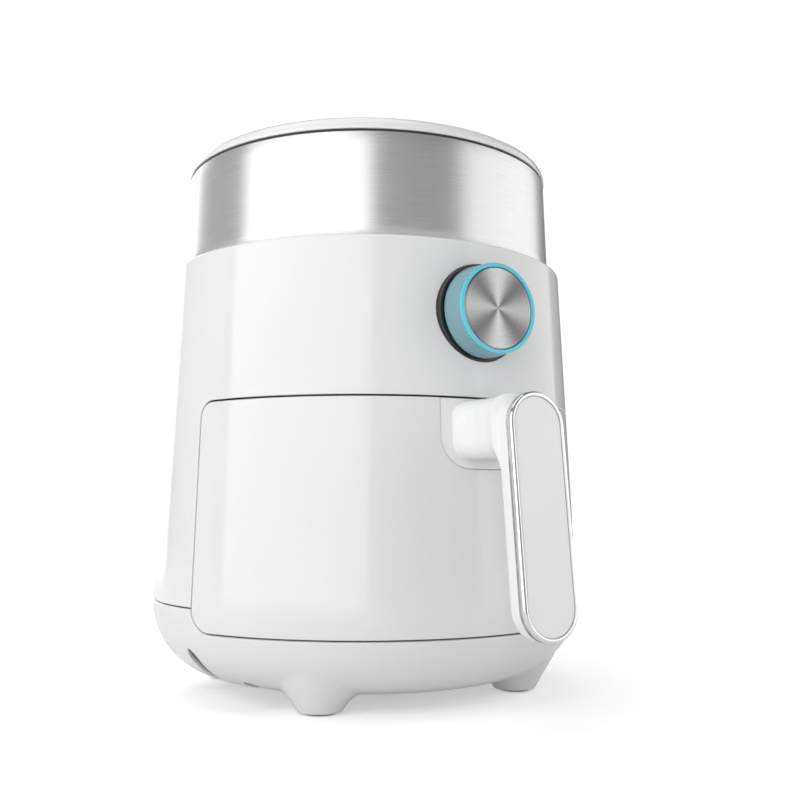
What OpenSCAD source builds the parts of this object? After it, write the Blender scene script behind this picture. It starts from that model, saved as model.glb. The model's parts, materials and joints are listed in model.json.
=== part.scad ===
// Compact air fryer: a round countertop fryer with a pull-out pan, a timer knob and a fan-driven
// heating chamber. Millimetres, +Z up, front towards -Y, feet on z = 0.

/* [Housing] */
// Height of the closed fryer above the table
body_h = 268; // [235:1:330]
// Radius of the housing at the seam between housing and base
seam_r = 108.5; // [96:0.5:132]
// How much the housing narrows from the seam to the shoulder
housing_taper = 6.8; // [2:0.1:12]
// Height of the seam between housing and base
seam_z = 45.6; // [42:0.1:60]
// Radius of the rounded lower edge of the base
bowl_r = 38; // [34:0.5:38]
// Wall of the plastic housing
shell_wall = 2.4; // [1.6:0.1:3.2]
// Wall of the base
base_wall = 2.6; // [1.8:0.1:3.4]
// Shadow gap between housing and base
seam_gap = 0.6; // [0.3:0.1:1]
// Thickness of the base's locating tongue
tongue_t = 2; // [1.4:0.1:2.6]
// Height of the base's locating tongue above the seam
tongue_h = 4.4; // [3:0.1:6]
// Edge radius of the housing's shoulder
shoulder_edge_r = 1.6; // [0.8:0.1:2.2]
// Inner radius of the housing's top flange, counted in from the shoulder
flange_depth = 19.7; // [17:0.1:24]

/* [Steel band and lid] */
// Height of the steel band
band_h = 49.4; // [40:0.1:60]
// Step from the shoulder in to the steel band
band_step = 5.4; // [4:0.1:7]
// How much the steel band narrows over its height
band_taper = 1.5; // [0:0.1:3]
// Thickness of the steel band
band_t = 0.8; // [0.5:0.1:1.2]
// Wall of the head shell that carries the band
head_wall = 2; // [1.6:0.1:2.8]
// Thickness of the gasket under the lid
gasket_h = 1.2; // [0.8:0.1:2]
// How far the gasket's edge stands back from the lid
gasket_step = 0.9; // [0.5:0.1:1.4]
// Height of the lid above the gasket
lid_h = 7; // [6:0.1:9]
// Wall of the lid
lid_wall = 2.2; // [1.6:0.1:2.8]
// Depth of the lid's locating skirt
lid_skirt_h = 9; // [6:0.5:14]
// Clearance of the lid's skirt in the head shell
lid_clear = 0.2; // [0.1:0.05:0.4]

/* [Feet] */
// Radius of the circle that the feet stand on
foot_circle_r = 77; // [68:0.5:80]
// Radius of a foot at its lower end
foot_r = 10.4; // [9:0.1:12]
// Radius of a foot where it meets the base
foot_top_r = 18; // [15:0.5:20]
// Height of a foot's cone
foot_cone_h = 16; // [14:0.5:18]
// Height at which a foot's plastic ends above the table
foot_lift = 0.8; // [0.5:0.1:1.5]
// Radius of a rubber foot pad
pad_r = 7.5; // [6:0.1:8]
// Thickness of a rubber foot pad
pad_t = 3; // [2:0.1:4]

/* [Drawer] */
// Height from the drawer's top edge to the top of the fryer
head_h = 129.5; // [125:0.5:134]
// Height of the drawer's bottom edge
drawer_z0 = 34.8; // [32:0.1:40]
// Half of the angle that the drawer front spans
drawer_half_angle = 76; // [70:0.5:78]
// Gap around the drawer front
drawer_gap = 0.8; // [0.6:0.1:1.4]
// Radius of the drawer front's upper corners
drawer_top_corner = 8; // [4:0.5:12]
// Radius of the drawer front's lower corners
drawer_low_corner = 11; // [4:0.5:14]
// Wall of the drawer front
front_wall = 2.6; // [1.8:0.1:3.2]
// Thickness of the frame behind the drawer front
backing_t = 2.4; // [1.8:0.1:3]
// How far the frame stands in from the drawer front's edges
backing_inset = 6; // [4:0.5:9]
// How far the drawer pulls out
drawer_travel = 200; // [120:5:230]

/* [Pan and tray] */
// Wall of the pan
pan_wall = 1.6; // [1.2:0.1:2.4]
// How much the pan's wall narrows from top to bottom
pan_draft = 4; // [2:0.5:8]
// Width of the pan's rim outside its wall
pan_rim_w = 3; // [2:0.1:4]
// Thickness of the pan's rim
pan_rim_t = 1.4; // [1:0.1:2]
// Radius of the pan's lower corner
pan_corner = 8; // [5:0.5:14]
// Gap between the pan's rim and the steel can
pan_clear = 2; // [1.5:0.1:3]
// Thickness of the crisper tray
tray_t = 1.5; // [1:0.1:2]
// Height of the tray's legs above the pan's floor
tray_leg_h = 10; // [8:0.5:16]
// Height of the tray's upturned edge
tray_edge_h = 6; // [4:0.5:10]
// Radius of a hole in the tray
tray_hole_r = 3; // [2:0.1:3.6]
// Distance between rings of holes in the tray
tray_hole_pitch = 12; // [10:0.5:16]
// Gap between the tray's bumpers and the pan
tray_clear = 0.6; // [0.4:0.1:1]

/* [Handle] */
// Distance from the fryer's axis to the middle of the handle's face
handle_reach = 145.75; // [138:0.25:170]
// Half of the width of the handle's chrome frame
handle_half_w = 14.1; // [12:0.1:18]
// How far the handle leans in at its top
handle_tilt = 5.46; // [0:0.1:8]
// Width of the chrome frame around the face plate
trim_w = 2; // [1.2:0.1:3]
// Depth of the chrome frame
trim_t = 3.4; // [2.6:0.1:5]
// Thickness of the face plate
plate_t = 1.6; // [1.2:0.1:2]
// How far the face plate sits back in its frame
plate_recess = 0.4; // [0:0.1:0.8]
// Depth of the grip behind the chrome frame
grip_t = 7.4; // [6:0.1:12]
// Half of the width of the neck where it leaves the drawer
neck_root_half_w = 16.1; // [14:0.1:18]
// Height of the neck
neck_h = 26.5; // [20:0.5:30]
// Corner radius of the neck
neck_corner = 8.5; // [4:0.5:10]
// Length of the neck's wider root
neck_root_l = 7; // [4:0.5:10]
// Half of the width of the bracket that holds the neck
bracket_half_w = 21.6; // [20:0.1:26]
// Height of the bracket that holds the neck
bracket_h = 31.5; // [28:0.5:36]
// Corner radius of the bracket's lower end
bracket_corner = 14; // [8:0.5:16]
// How far the bracket's face stands back from the drawer front
bracket_step = 0.5; // [0.2:0.1:1]

/* [Knob and timer] */
// Height of the knob's axis below the shoulder
knob_drop = 33.1; // [30:0.1:36]
// Radius of the knob's front edge
knob_r = 20.2; // [16:0.1:24]
// Radius of the knob's rear edge
knob_base_r = 21; // [16.5:0.1:24.5]
// How far the knob's face stands out from the housing
knob_l = 13.7; // [10:0.1:18]
// Width of the bright ring around the knob's face
knob_ring_w = 1.8; // [1:0.1:3]
// Thickness of the bright ring
knob_ring_t = 1.5; // [1:0.1:2.5]
// Thickness of the steel cap
knob_cap_t = 1; // [0.6:0.1:1.4]
// How far the steel cap sits back in the ring
knob_cap_recess = 0.4; // [0:0.1:0.8]
// Gap between the knob and the black bezel
knob_gap = 0.6; // [0.4:0.1:1.2]
// Wall of the knob
knob_wall = 2; // [1.4:0.1:2.6]
// Radius of the black bezel behind the knob
bezel_r = 22.2; // [21.8:0.1:26]
// How far the bezel stands out from the housing
bezel_proud = 0.9; // [0.5:0.1:1.5]
// Radius of the timer's spindle
spindle_r = 3; // [2.5:0.1:4]
// Width of the timer's case
timer_w = 44; // [36:0.5:50]
// Height of the timer's case
timer_h = 34; // [28:0.5:35]
// Depth of the timer's case
timer_d = 26; // [18:0.5:27]

/* [Heating chamber] */
// Wall of the steel can around the pan
can_wall = 0.8; // [0.6:0.1:1.2]
// Height of the slide rails on the can's floor
rail_h = 1.2; // [0.8:0.1:2]
// Gap between the rails and the pan
rail_clear = 0.3; // [0.3:0.1:0.6]
// Gap between the pan's rim and the top of the can
can_top_clear = 2.5; // [2:0.1:4]
// Width of the flange around the can's top
can_flange_w = 5.2; // [4.5:0.1:6]
// Height of the heating chamber above the can
chamber_h = 24.5; // [23.5:0.1:25]
// Radius of the heating element's tube
element_tube_r = 3.2; // [2.5:0.1:3.6]
// Gap between the heating element's two loops
element_loop_gap = 14; // [10:0.5:18]
// Radius of the guard's wires
guard_wire_r = 1.2; // [0.8:0.1:1.6]
// Radius of the convection fan
fan_r = 56; // [40:0.5:58]
// Number of blades on the convection fan
fan_blades = 8; // [5:1:12]

/* [Motor] */
// Radius of the motor's case
motor_r = 30; // [24:0.5:34]
// Height of the motor's case
motor_h = 30; // [26:0.5:36]
// Height of the motor's feet above the chamber
motor_lift = 22; // [18:0.5:26]
// Radius of the motor shaft
shaft_r = 3; // [2.5:0.1:4]
// Running clearance of each shaft in its bore
running_clear = 0.05; // [0.02:0.01:0.08]
// Radius of the cooling fan
cooling_fan_r = 34; // [26:0.5:38]
// Number of blades on the cooling fan
cooling_blades = 7; // [5:1:9]

/* [Rear fittings] */
// Height of the cord inlet above the seam
inlet_rise = 16.4; // [14:0.5:30]
// Radius of the cord inlet's bore
inlet_bore_r = 3.6; // [3:0.1:4.5]
// Radius of the cord inlet's barrel
inlet_barrel_r = 7; // [6:0.1:8]
// Radius of the cord inlet's outer flange
inlet_flange_r = 10.5; // [9.5:0.1:12]
// How far the cord inlet stands out
inlet_proud = 3; // [2:0.1:4]
// Half of the width of the air outlet
outlet_half_w = 28; // [20:0.5:30]
// Height of the air outlet
outlet_h = 30; // [20:0.5:32]
// Number of slots in the air outlet
outlet_slots = 5; // [3:1:6]

/* [Hidden] */
$fn = 96;

// Small amount by which a cut runs past a face
past = 1;
// Larger than any part of the fryer
huge = 400;
// How far an edge rounding stands past the leaning wall it runs into, for a clean edge
edge_break = 0.05;

// Heights
lid_z = body_h - lid_h;
band_z1 = lid_z - gasket_h;
shoulder_z = band_z1 - band_h;
drawer_z1 = body_h - head_h;
shoulder_r = seam_r - housing_taper;
bowl_z0 = seam_z - bowl_r;
bowl_centre_r = seam_r - bowl_r;
knob_z = shoulder_z - knob_drop;

// Radius of the housing at a height above the seam
function housing_r(z) = seam_r - (z - seam_z) * housing_taper / (shoulder_z - seam_z);

// Outer radius of the steel band at its lower and upper end
band_r0 = shoulder_r - band_step;
band_r1 = band_r0 - band_taper;
lid_r = band_r1 + 0.5;

// Drawer opening: each side is cut straight along edge_dir, so its edge keeps the same angle
edge_dir = drawer_half_angle - 10;
edge_x = housing_r((drawer_z0 + drawer_z1) / 2) * sin(drawer_half_angle - edge_dir);
cut_start = 0.3 * seam_r;

// Pan and can, worked inwards from the drawer frame
backing_r = housing_r(drawer_z1) - front_wall - backing_t;
can_limit_r = backing_r - 1;
// Room between the drawer's frame and the pan's rim, for the pan's bracket
pan_gap_to_backing = 15.6;
// Height of the can's floor above the underside, which leaves room for the base's air vents
can_lift = 30.6;
// Depth of the can's top below the drawer's top edge
can_drop = 5;
pan_rim_r = backing_r - pan_gap_to_backing;
pan_r1 = pan_rim_r - pan_rim_w;
pan_r0 = pan_r1 - pan_draft;
can_r = pan_rim_r + pan_clear;
can_z0 = bowl_z0 + can_lift;
pan_z0 = can_z0 + can_wall + rail_h + rail_clear;
can_z1 = drawer_z1 - can_drop;
pan_z1 = can_z1 - can_top_clear;
roof_z = can_z1 + chamber_h;

// Radius of the pan's outer wall at a height
function pan_r(z) = pan_r0 + (z - pan_z0) * pan_draft / (pan_z1 - pan_z0);

// Tray
tray_z = pan_z0 + pan_wall + rail_clear + tray_leg_h;
bumper_r = pan_r(tray_z) - pan_wall - tray_clear;
tray_r = bumper_r - 1.2;

// Heating element and fan
element_z = can_z1 + 8;
element_r1 = can_r - 20;
element_r0 = element_r1 - element_loop_gap;
fan_run_r = min(fan_r, can_r - 28);
fan_z0 = element_z + element_tube_r + 2.3;
fan_z1 = roof_z - 2.5;

// Motor, from the chamber's roof upwards
motor_z = roof_z + can_wall + motor_lift;
motor_plate_t = 1.6;
case_z = motor_z + motor_plate_t;
bearing_r = 7;
bearing_h = 6;
shaft_z0 = fan_z0 - 4.4;
shaft_z1 = case_z + motor_h + 16;
cooling_z = case_z + motor_h + 4.5;
post_circle_r = motor_r + 10;

// Handle, hung from the drawer's top edge
handle_half_l = (drawer_z1 - drawer_z0) / 2 - 0.9;
handle_mid_z = (drawer_z1 + drawer_z0) / 2 + 0.9;
neck_z1 = drawer_z1 - 1;
neck_z0 = neck_z1 - neck_h;
screw_zs = [neck_z0 + 6, neck_z1 - 10.5];
handle_y = -handle_reach;

// Knob and timer, on a horizontal axis at knob_z
knob_face_y = -(housing_r(knob_z) + knob_l);
bezel_face_y = -(housing_r(knob_z) + bezel_proud);
knob_back_y = bezel_face_y - knob_gap;
timer_face_y = -(housing_r(knob_z) - shell_wall - 5);
bushing_r = 5;
nut_h = 2.5;

// Rear fittings
inlet_z = seam_z + inlet_rise;
outlet_z0 = roof_z + 11;
switch_z = pan_z1 - pan_rim_t / 2;
plunger_r = 2;
terminal_az = 155;

// Screws
screw_r = 1.9;
screw_head_r = 3.8;
m3_r = 1.5;
m3_head_r = 2.8;
base_screw_circle_r = 60;
roof_screw_r = can_r + can_wall + m3_head_r + 0.1;
shell_screw_r = housing_r(can_z1) - shell_wall - 4.4;
bracket_angles = [90, 135, 225, 270];
post_angles = [0, 90, 180, 270];
foot_angles = [45, 135, 225, 315];

// The body's axis stands behind the origin, because the handle reaches further out than the back
handle_front = handle_reach + handle_half_l * sin(handle_tilt);
rear_reach = housing_r(inlet_z) + inlet_proud;
axis_y = (handle_front - rear_reach) / 2;

// ---------- helpers ----------

// Moves what is drawn about the body's axis to its place
module on_axis() {
    translate([0, axis_y, 0]) children();
}

// Turns what is drawn towards the front (-Y) to an angle about the body's axis, 0 at the front
module at_angle(angle) {
    rotate([0, 0, angle]) children();
}

// Lays a cylinder that is drawn along +Z so that it runs towards the front from y = 0
module towards_front() {
    rotate([90, 0, 0]) children();
}

module ring(r_out, r_in, h) {
    difference() {
        cylinder(h=h, r=r_out);
        translate([0, 0, -past]) cylinder(h=h + 2 * past, r=r_in);
    }
}

module cone_ring(r0, r1, wall, h) {
    difference() {
        cylinder(h=h, r1=r0, r2=r1);
        translate([0, 0, -0.001]) cylinder(h=h + 0.002, r1=r0 - wall, r2=r1 - wall);
    }
}

// Half outline of the housing and base, moved in by inset: bowl, straight cone, rounded shoulder
module body_outline(inset, z1=shoulder_z) {
    intersection() {
        translate([bowl_centre_r, seam_z]) circle(r=bowl_r - inset);
        translate([0, seam_z - bowl_r]) square([huge, bowl_r]);
    }
    translate([0, bowl_z0 + inset]) square([bowl_centre_r, bowl_r - inset]);
    polygon([[0, seam_z], [seam_r - inset, seam_z], [housing_r(z1) - inset, z1], [0, z1]]);
}

module body_solid(inset, z1=shoulder_z) {
    rotate_extrude() body_outline(inset, z1);
}

// Half of the drawer opening's outline, with its rounded corners on the +X side
module half_opening(grow) {
    x1 = edge_x + grow;
    z0 = drawer_z0 - grow;
    z1 = drawer_z1 + grow;
    low = drawer_low_corner + grow;
    top = drawer_top_corner + grow;
    translate([-seam_r, z0]) square([seam_r + x1 - low, z1 - z0]);
    translate([-seam_r, z0 + low]) square([seam_r + x1 - top, z1 - z0 - low]);
    translate([x1 - low - past, z0 + low]) square([low + past, z1 - z0 - low - top]);
    translate([x1 - low, z0 + low]) circle(r=low);
    translate([x1 - top, z1 - top]) circle(r=top);
}

// Everything inside the drawer opening, grown or shrunk all round
module drawer_cutter(grow) {
    for (side = [0, 1]) {
        mirror([side, 0, 0]) at_angle(edge_dir) translate([0, -cut_start, 0]) towards_front()
            linear_extrude(height=huge) half_opening(grow);
    }
}

// Stadium outline that stands in the handle's face
module stadium(half_l, half_w) {
    translate([-half_w, -(half_l - half_w)]) square([2 * half_w, 2 * (half_l - half_w)]);
    translate([0, half_l - half_w]) circle(r=half_w);
    translate([0, -(half_l - half_w)]) circle(r=half_w);
}

// Places a stadium slab in the handle's leaning frame, from depth d0 to d1 behind its face
module handle_slab(inset, d0, d1) {
    translate([0, handle_y, handle_mid_z]) rotate([-handle_tilt, 0, 0]) translate([0, d1, 0])
        towards_front() linear_extrude(height=d1 - d0)
            stadium(handle_half_l - inset, handle_half_w - inset);
}

// Rounded rectangle from its half width, lower and upper height and one corner radius
module rounded_window(half_w, z0, z1, r) {
    translate([-half_w, z0 + r]) square([2 * half_w, z1 - z0 - 2 * r]);
    translate([-half_w + r, z0]) square([2 * (half_w - r), z1 - z0]);
    for (x = [-half_w + r, half_w - r]) {
        for (z = [z0 + r, z1 - r]) {
            translate([x, z]) circle(r=r);
        }
    }
}

// U-shaped outline of the handle's bracket, open at the drawer's top edge
module bracket_outline(grow) {
    w = bracket_half_w + grow;
    z0 = drawer_z1 - bracket_h - grow;
    r = bracket_corner + grow;
    translate([-w, z0 + r]) square([2 * w, drawer_z1 + past - z0 - r]);
    translate([-w + r, z0]) square([2 * (w - r), r + past]);
    for (x = [-w + r, w - r]) {
        translate([x, z0 + r]) circle(r=r);
    }
}

// Outline of the steel can: round at the back, straight to the front, cut by the drawer's frame
module can_outline(r) {
    intersection() {
        union() {
            circle(r=r);
            translate([-r, -huge]) square([2 * r, huge]);
        }
        circle(r=can_limit_r);
    }
}

// A pan head screw that points up, its head's underside at z = 0
module screw(r, head_r, head_h, l) {
    cylinder(h=l, r=r);
    translate([0, 0, -head_h]) cylinder(h=head_h, r=head_r);
}

// A straight round rod between two points
module rod(a, b, r) {
    d = b - a;
    translate(a) rotate([0, acos(d[2] / norm(d)), atan2(d[1], d[0])]) cylinder(h=norm(d), r=r, $fn=24);
}

// A wire along a list of points, with a slightly thicker ball at each bend
module wire(points, r) {
    for (i = [1:len(points) - 1]) {
        rod(points[i - 1], points[i], r);
    }
    for (i = [1:len(points) - 2]) {
        translate(points[i]) rotate([35, 50, 0]) sphere(r=1.2 * r, $fn=24);
    }
}

// Part of a ring of round tube in the XY plane, from the +X axis anticlockwise
module tube_arc(bend_r, tube_r, angle) {
    rotate_extrude(angle=angle) translate([bend_r, 0]) circle(r=tube_r, $fn=32);
}

// ---------- base ----------

vent_w = 8;
vent_l = 34;
// Angle and outer radius of each slot in the bowl's side, on one side of the fryer
side_vents = [[66.5, 0.82], [81, 0.952], [99, 0.952], [113.5, 0.82]];
floor_slots = 12;
floor_slot_w = 4;
floor_slot_r0 = 22;
floor_slot_r1 = 46;
post_r = 6;
tongue_r = housing_r(seam_z + tongue_h) - shell_wall - 0.1;

module foot() {
    translate([0, -foot_circle_r, foot_lift]) cylinder(h=foot_cone_h, r1=foot_r, r2=foot_top_r);
}

module vent_slot(outer_r, l, w) {
    translate([0, -outer_r + w / 2, -past]) cylinder(h=seam_z - 14, r=w / 2);
    translate([-w / 2, -outer_r + w / 2, -past]) cube([w, l - w / 2, seam_z - 14]);
}

module lower_base() {
    on_axis() color([0.93, 0.93, 0.93]) difference() {
        union() {
            rotate_extrude() difference() {
                body_outline(0);
                translate([0, seam_z + seam_gap / 2]) square([huge, huge]);
                translate([seam_r - base_wall + 1, seam_z - seam_gap / 2]) square([huge, past]);
            }
            for (a = foot_angles) {
                at_angle(a) foot();
            }
            translate([0, 0, seam_z - past])
                cylinder(h=tongue_h + past, r=tongue_r);
        }
        difference() {
            union() {
                intersection() {
                    body_solid(base_wall);
                    cylinder(h=seam_z - 2 * tongue_t, r=huge);
                }
                translate([0, 0, seam_z - 2 * tongue_t - 0.01]) cylinder(h=huge, r=tongue_r - tongue_t);
            }
            translate([-huge, -huge, -huge]) cube([2 * huge, 2 * huge, huge + bowl_z0 + base_wall]);
            for (a = post_angles) {
                at_angle(a) translate([0, -base_screw_circle_r, 0]) cylinder(h=can_z0, r=post_r);
            }
        }
        drawer_cutter(drawer_gap / 2);
        for (a = foot_angles) {
            at_angle(a) translate([0, -foot_circle_r, -past]) cylinder(h=pad_t + past, r=pad_r);
        }
        for (a = post_angles) {
            at_angle(a) translate([0, -base_screw_circle_r, -past]) {
                cylinder(h=huge, r=screw_r);
                cylinder(h=bowl_z0 + 3 + past, r=screw_head_r + 0.4);
            }
        }
        for (side = [0, 1]) {
            for (v = side_vents) {
                mirror([side, 0, 0]) at_angle(v[0]) vent_slot(seam_r * v[1], vent_l - 13, vent_w);
            }
        }
        for (i = [0:floor_slots - 1]) {
            at_angle((i + 0.5) * 360 / floor_slots)
                vent_slot(floor_slot_r1, floor_slot_r1 - floor_slot_r0, floor_slot_w);
        }
    }
}

module rubber_feet() {
    on_axis() color([0.15, 0.15, 0.15]) for (a = foot_angles) {
        at_angle(a) translate([0, -foot_circle_r, 0]) cylinder(h=pad_t, r=pad_r);
    }
}

module base_screws() {
    on_axis() color([0.6, 0.6, 0.62]) for (a = post_angles) {
        at_angle(a) translate([0, -base_screw_circle_r, bowl_z0 + 3])
            screw(screw_r, screw_head_r, 2.4, can_z0 + can_wall - bowl_z0 - 3);
    }
}

// ---------- housing ----------

boss_w = 12;

module shell_boss() {
    translate([-boss_w / 2, -huge, can_z1 - 8]) cube([boss_w, huge, 8 + can_wall]);
}

module outer_shell() {
    edge_centre_r = housing_r(shoulder_z - shoulder_edge_r) - shoulder_edge_r + edge_break;
    on_axis() color([0.95, 0.95, 0.95]) difference() {
        union() {
            rotate_extrude() difference() {
                body_outline(0);
                translate([edge_centre_r, shoulder_z - shoulder_edge_r]) difference() {
                    square(2 * shoulder_edge_r);
                    circle(r=shoulder_edge_r);
                }
                body_outline(shell_wall, shoulder_z - shell_wall);
                square([huge, seam_z + seam_gap / 2]);
                square([shoulder_r - flange_depth, huge]);
            }
            intersection() {
                body_solid(shell_wall / 2);
                difference() {
                    for (a = bracket_angles) {
                        at_angle(a) shell_boss();
                    }
                    cylinder(h=huge, r=shell_screw_r - 3);
                }
            }
        }
        drawer_cutter(drawer_gap / 2);
        translate([0, 0, knob_z]) towards_front() cylinder(h=huge, r=bezel_r);
        translate([0, 0, inlet_z]) mirror([0, 1, 0]) towards_front() cylinder(h=huge, r=inlet_barrel_r);
        translate([-outlet_half_w, 0, outlet_z0]) cube([2 * outlet_half_w, huge, outlet_h]);
        for (a = bracket_angles) {
            at_angle(a) translate([0, -shell_screw_r, can_z1 - 6]) cylinder(h=20, r=m3_r);
        }
        for (a = head_boss_angles) {
            at_angle(a) translate([0, -head_boss_circle_r, shoulder_z - shell_wall - past])
                cylinder(h=10, r=head_boss_r / 2);
        }
    }
}

head_boss_angles = [40, 140, 220, 320];
head_boss_r = 4;
head_boss_h = 14;
head_boss_circle_r = band_r0 - band_t - head_wall - 3.2;

module head_shell() {
    on_axis() color([0.3, 0.3, 0.32]) {
        translate([0, 0, shoulder_z])
            cone_ring(band_r0 - band_t, band_r1 - band_t, head_wall, band_h);
        for (a = head_boss_angles) {
            at_angle(a) translate([0, -head_boss_circle_r, shoulder_z]) cylinder(h=head_boss_h, r=head_boss_r);
            at_angle(a) translate([0, -head_boss_circle_r, shoulder_z - shell_wall])
                cylinder(h=shell_wall + past, r=head_boss_r / 2);
        }
    }
}

module steel_band() {
    on_axis() color([0.72, 0.72, 0.74]) translate([0, 0, shoulder_z])
        cone_ring(band_r0, band_r1, band_t, band_h);
}

module lid_gasket() {
    on_axis() color([0.06, 0.06, 0.07]) translate([0, 0, band_z1])
        ring(lid_r - gasket_step, band_r1 - band_t - head_wall, gasket_h);
}

module top_lid() {
    skirt_r = band_r1 - band_t - head_wall - lid_clear;
    edge_r = lid_h - 0.4;
    on_axis() color([0.95, 0.95, 0.95]) rotate_extrude() difference() {
        union() {
            translate([0, lid_z]) square([lid_r - edge_r, lid_h]);
            intersection() {
                translate([lid_r - edge_r, lid_z + lid_h - edge_r]) circle(r=edge_r);
                translate([0, lid_z]) square([huge, huge]);
            }
            translate([0, lid_z]) square([lid_r, lid_h - edge_r]);
            translate([0, lid_z - lid_skirt_h]) square([skirt_r, lid_skirt_h + past]);
        }
        translate([-past, lid_z - lid_skirt_h - past])
            square([skirt_r - lid_wall + past, lid_skirt_h + lid_h - lid_wall + past]);
    }
}

// ---------- can and heating chamber ----------

terminal_x = 10;
exhaust_y0 = post_circle_r + 12;
exhaust_l = 22;
duct_wall = 1.2;

module can_flange(z) {
    translate([0, 0, z]) linear_extrude(height=can_wall) difference() {
        can_outline(can_r + can_wall + can_flange_w);
        can_outline(can_r);
    }
}

module flange_screw_holes() {
    for (a = bracket_angles) {
        at_angle(a) translate([0, -roof_screw_r, can_z1 - 5]) cylinder(h=10, r=m3_r);
    }
}

module inner_can() {
    on_axis() color([0.66, 0.67, 0.68]) difference() {
        union() {
            translate([0, 0, can_z0]) linear_extrude(height=can_z1 - can_z0) difference() {
                can_outline(can_r + can_wall);
                can_outline(can_r);
            }
            translate([0, 0, can_z0]) linear_extrude(height=can_wall) can_outline(can_r + can_wall);
            can_flange(can_z1 - can_wall);
        }
        flange_screw_holes();
        for (a = post_angles) {
            at_angle(a) translate([0, -base_screw_circle_r, 0]) cylinder(h=huge, r=screw_r);
        }
        translate([0, 0, switch_z]) mirror([0, 1, 0]) towards_front() cylinder(h=huge, r=plunger_r + 0.6);
    }
}

rail_x = 46;
rail_w = 6;

module slide_rails() {
    on_axis() color([0.8, 0.8, 0.8]) for (x = [-rail_x, rail_x]) {
        translate([x - rail_w / 2, -0.7 * can_r, can_z0 + can_wall]) cube([rail_w, 1.4 * can_r, rail_h]);
    }
}

module chamber_roof() {
    on_axis() color([0.7, 0.71, 0.72]) difference() {
        union() {
            translate([0, 0, can_z1]) ring(can_r + can_wall, can_r, chamber_h);
            translate([0, 0, roof_z]) cylinder(h=can_wall, r=can_r + can_wall);
            translate([0, 0, can_z1]) linear_extrude(height=can_wall) difference() {
                can_outline(can_r + can_wall + can_flange_w);
                circle(r=can_r);
            }
        }
        flange_screw_holes();
        translate([0, 0, roof_z - past]) cylinder(h=5, r=2 * shaft_r);
        for (x = [-terminal_x, terminal_x]) {
            translate([x, terminal_y, roof_z - past]) cylinder(h=5, r=ferrule_r);
        }
        translate([outlet_half_w - 18, exhaust_y0 + 2, roof_z - past]) cube([14, exhaust_l - 6, 5]);
        translate([4 - outlet_half_w, exhaust_y0 + 2, roof_z - past]) cube([14, exhaust_l - 6, 5]);
    }
}

guard_rings = 4;
guard_spokes = 6;

module heater_guard() {
    guard_z = can_z1 + guard_wire_r;
    pitch = can_r / (guard_rings + 0.5);
    on_axis() color([0.75, 0.75, 0.76]) {
        for (k = [1:guard_rings]) {
            translate([0, 0, guard_z]) tube_arc(k * pitch, guard_wire_r, 360);
        }
        for (i = [0:guard_spokes - 1]) {
            at_angle(i * 360 / guard_spokes) translate([0, -pitch + guard_wire_r, guard_z + 1.5 * guard_wire_r])
                towards_front() cylinder(h=can_r - pitch + guard_wire_r, r=guard_wire_r, $fn=24);
        }
    }
}

// The element is one tube: up from a terminal at the back, round one side of the outer loop, back
// round the whole inner loop, and round the other side of the outer loop to the second terminal.
ferrule_r = element_tube_r + 1;
ferrule_h = 7;
// Angle from the front at which the loops turn back
element_turn_angle = 14;
// Angle from the back at which the outer loop ends in its terminals
terminal_angle = asin(terminal_x / element_r1);
terminal_y = element_r1 * cos(terminal_angle);

module element_half() {
    turn_r = element_loop_gap / 2;
    rotate([0, 0, -90 + element_turn_angle]) {
        tube_arc(element_r1, element_tube_r, 180 - element_turn_angle - terminal_angle);
        tube_arc(element_r0, element_tube_r, 180 - element_turn_angle);
        translate([element_r0 + turn_r, 0, 0]) rotate([0, 0, 180]) tube_arc(turn_r, element_tube_r, 180);
    }
    translate([terminal_x, terminal_y, -ferrule_r])
        cylinder(h=roof_z - element_z + ferrule_r + ferrule_h, r=ferrule_r);
    translate([terminal_x, terminal_y, 0]) cylinder(h=roof_z - element_z + 2 * ferrule_h, r=1.2, $fn=24);
}

module heating_element() {
    on_axis() color([0.28, 0.27, 0.27]) for (side = [0, 1]) {
        mirror([side, 0, 0]) translate([0, 0, element_z]) element_half();
    }
}

clip_w = 6;
clip_t = 1;

module element_clips() {
    clip_z = element_z + element_tube_r;
    clip_r0 = element_r0 - 4;
    clip_r1 = element_r1 + 8;
    on_axis() color([0.72, 0.72, 0.73]) for (a = [0, 115, 245]) {
        at_angle(a) {
            translate([-clip_w / 2, -clip_r1, clip_z]) cube([clip_w, clip_r1 - clip_r0, clip_t]);
            translate([-clip_w / 2, -clip_r1, clip_z]) cube([clip_w, clip_t, roof_z - clip_z]);
        }
    }
}

module chassis_brackets() {
    on_axis() color([0.68, 0.68, 0.7]) intersection() {
        body_solid(shell_wall);
        for (a = bracket_angles) {
            at_angle(a) difference() {
                translate([-boss_w / 2, -huge, can_z1 + can_wall])
                    cube([boss_w, huge - can_r - can_wall, can_wall + 0.4]);
                for (r = [roof_screw_r, shell_screw_r]) {
                    translate([0, -r, 0]) cylinder(h=huge, r=m3_r);
                }
            }
        }
    }
}

module chassis_screws() {
    screw_top = can_z1 + 2 * can_wall + 0.4;
    on_axis() color([0.6, 0.6, 0.62]) for (a = bracket_angles) {
        for (r = [roof_screw_r, shell_screw_r]) {
            at_angle(a) translate([0, -r, screw_top]) mirror([0, 0, 1]) screw(m3_r, m3_head_r, 1.8, 5);
        }
    }
}

module duct_shape(grow) {
    w = outlet_half_w - duct_wall + grow;
    z0 = outlet_z0 + duct_wall - grow;
    z1 = outlet_z0 + outlet_h - duct_wall + grow;
    translate([-w, exhaust_y0 + duct_wall - grow, roof_z + can_wall - (duct_wall - grow)])
        cube([2 * w, exhaust_l - 2 * duct_wall + 2 * grow, z1 - roof_z - can_wall + duct_wall - grow]);
    translate([-w, exhaust_y0 + duct_wall - grow, z0]) cube([2 * w, huge, z1 - z0]);
}

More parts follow.
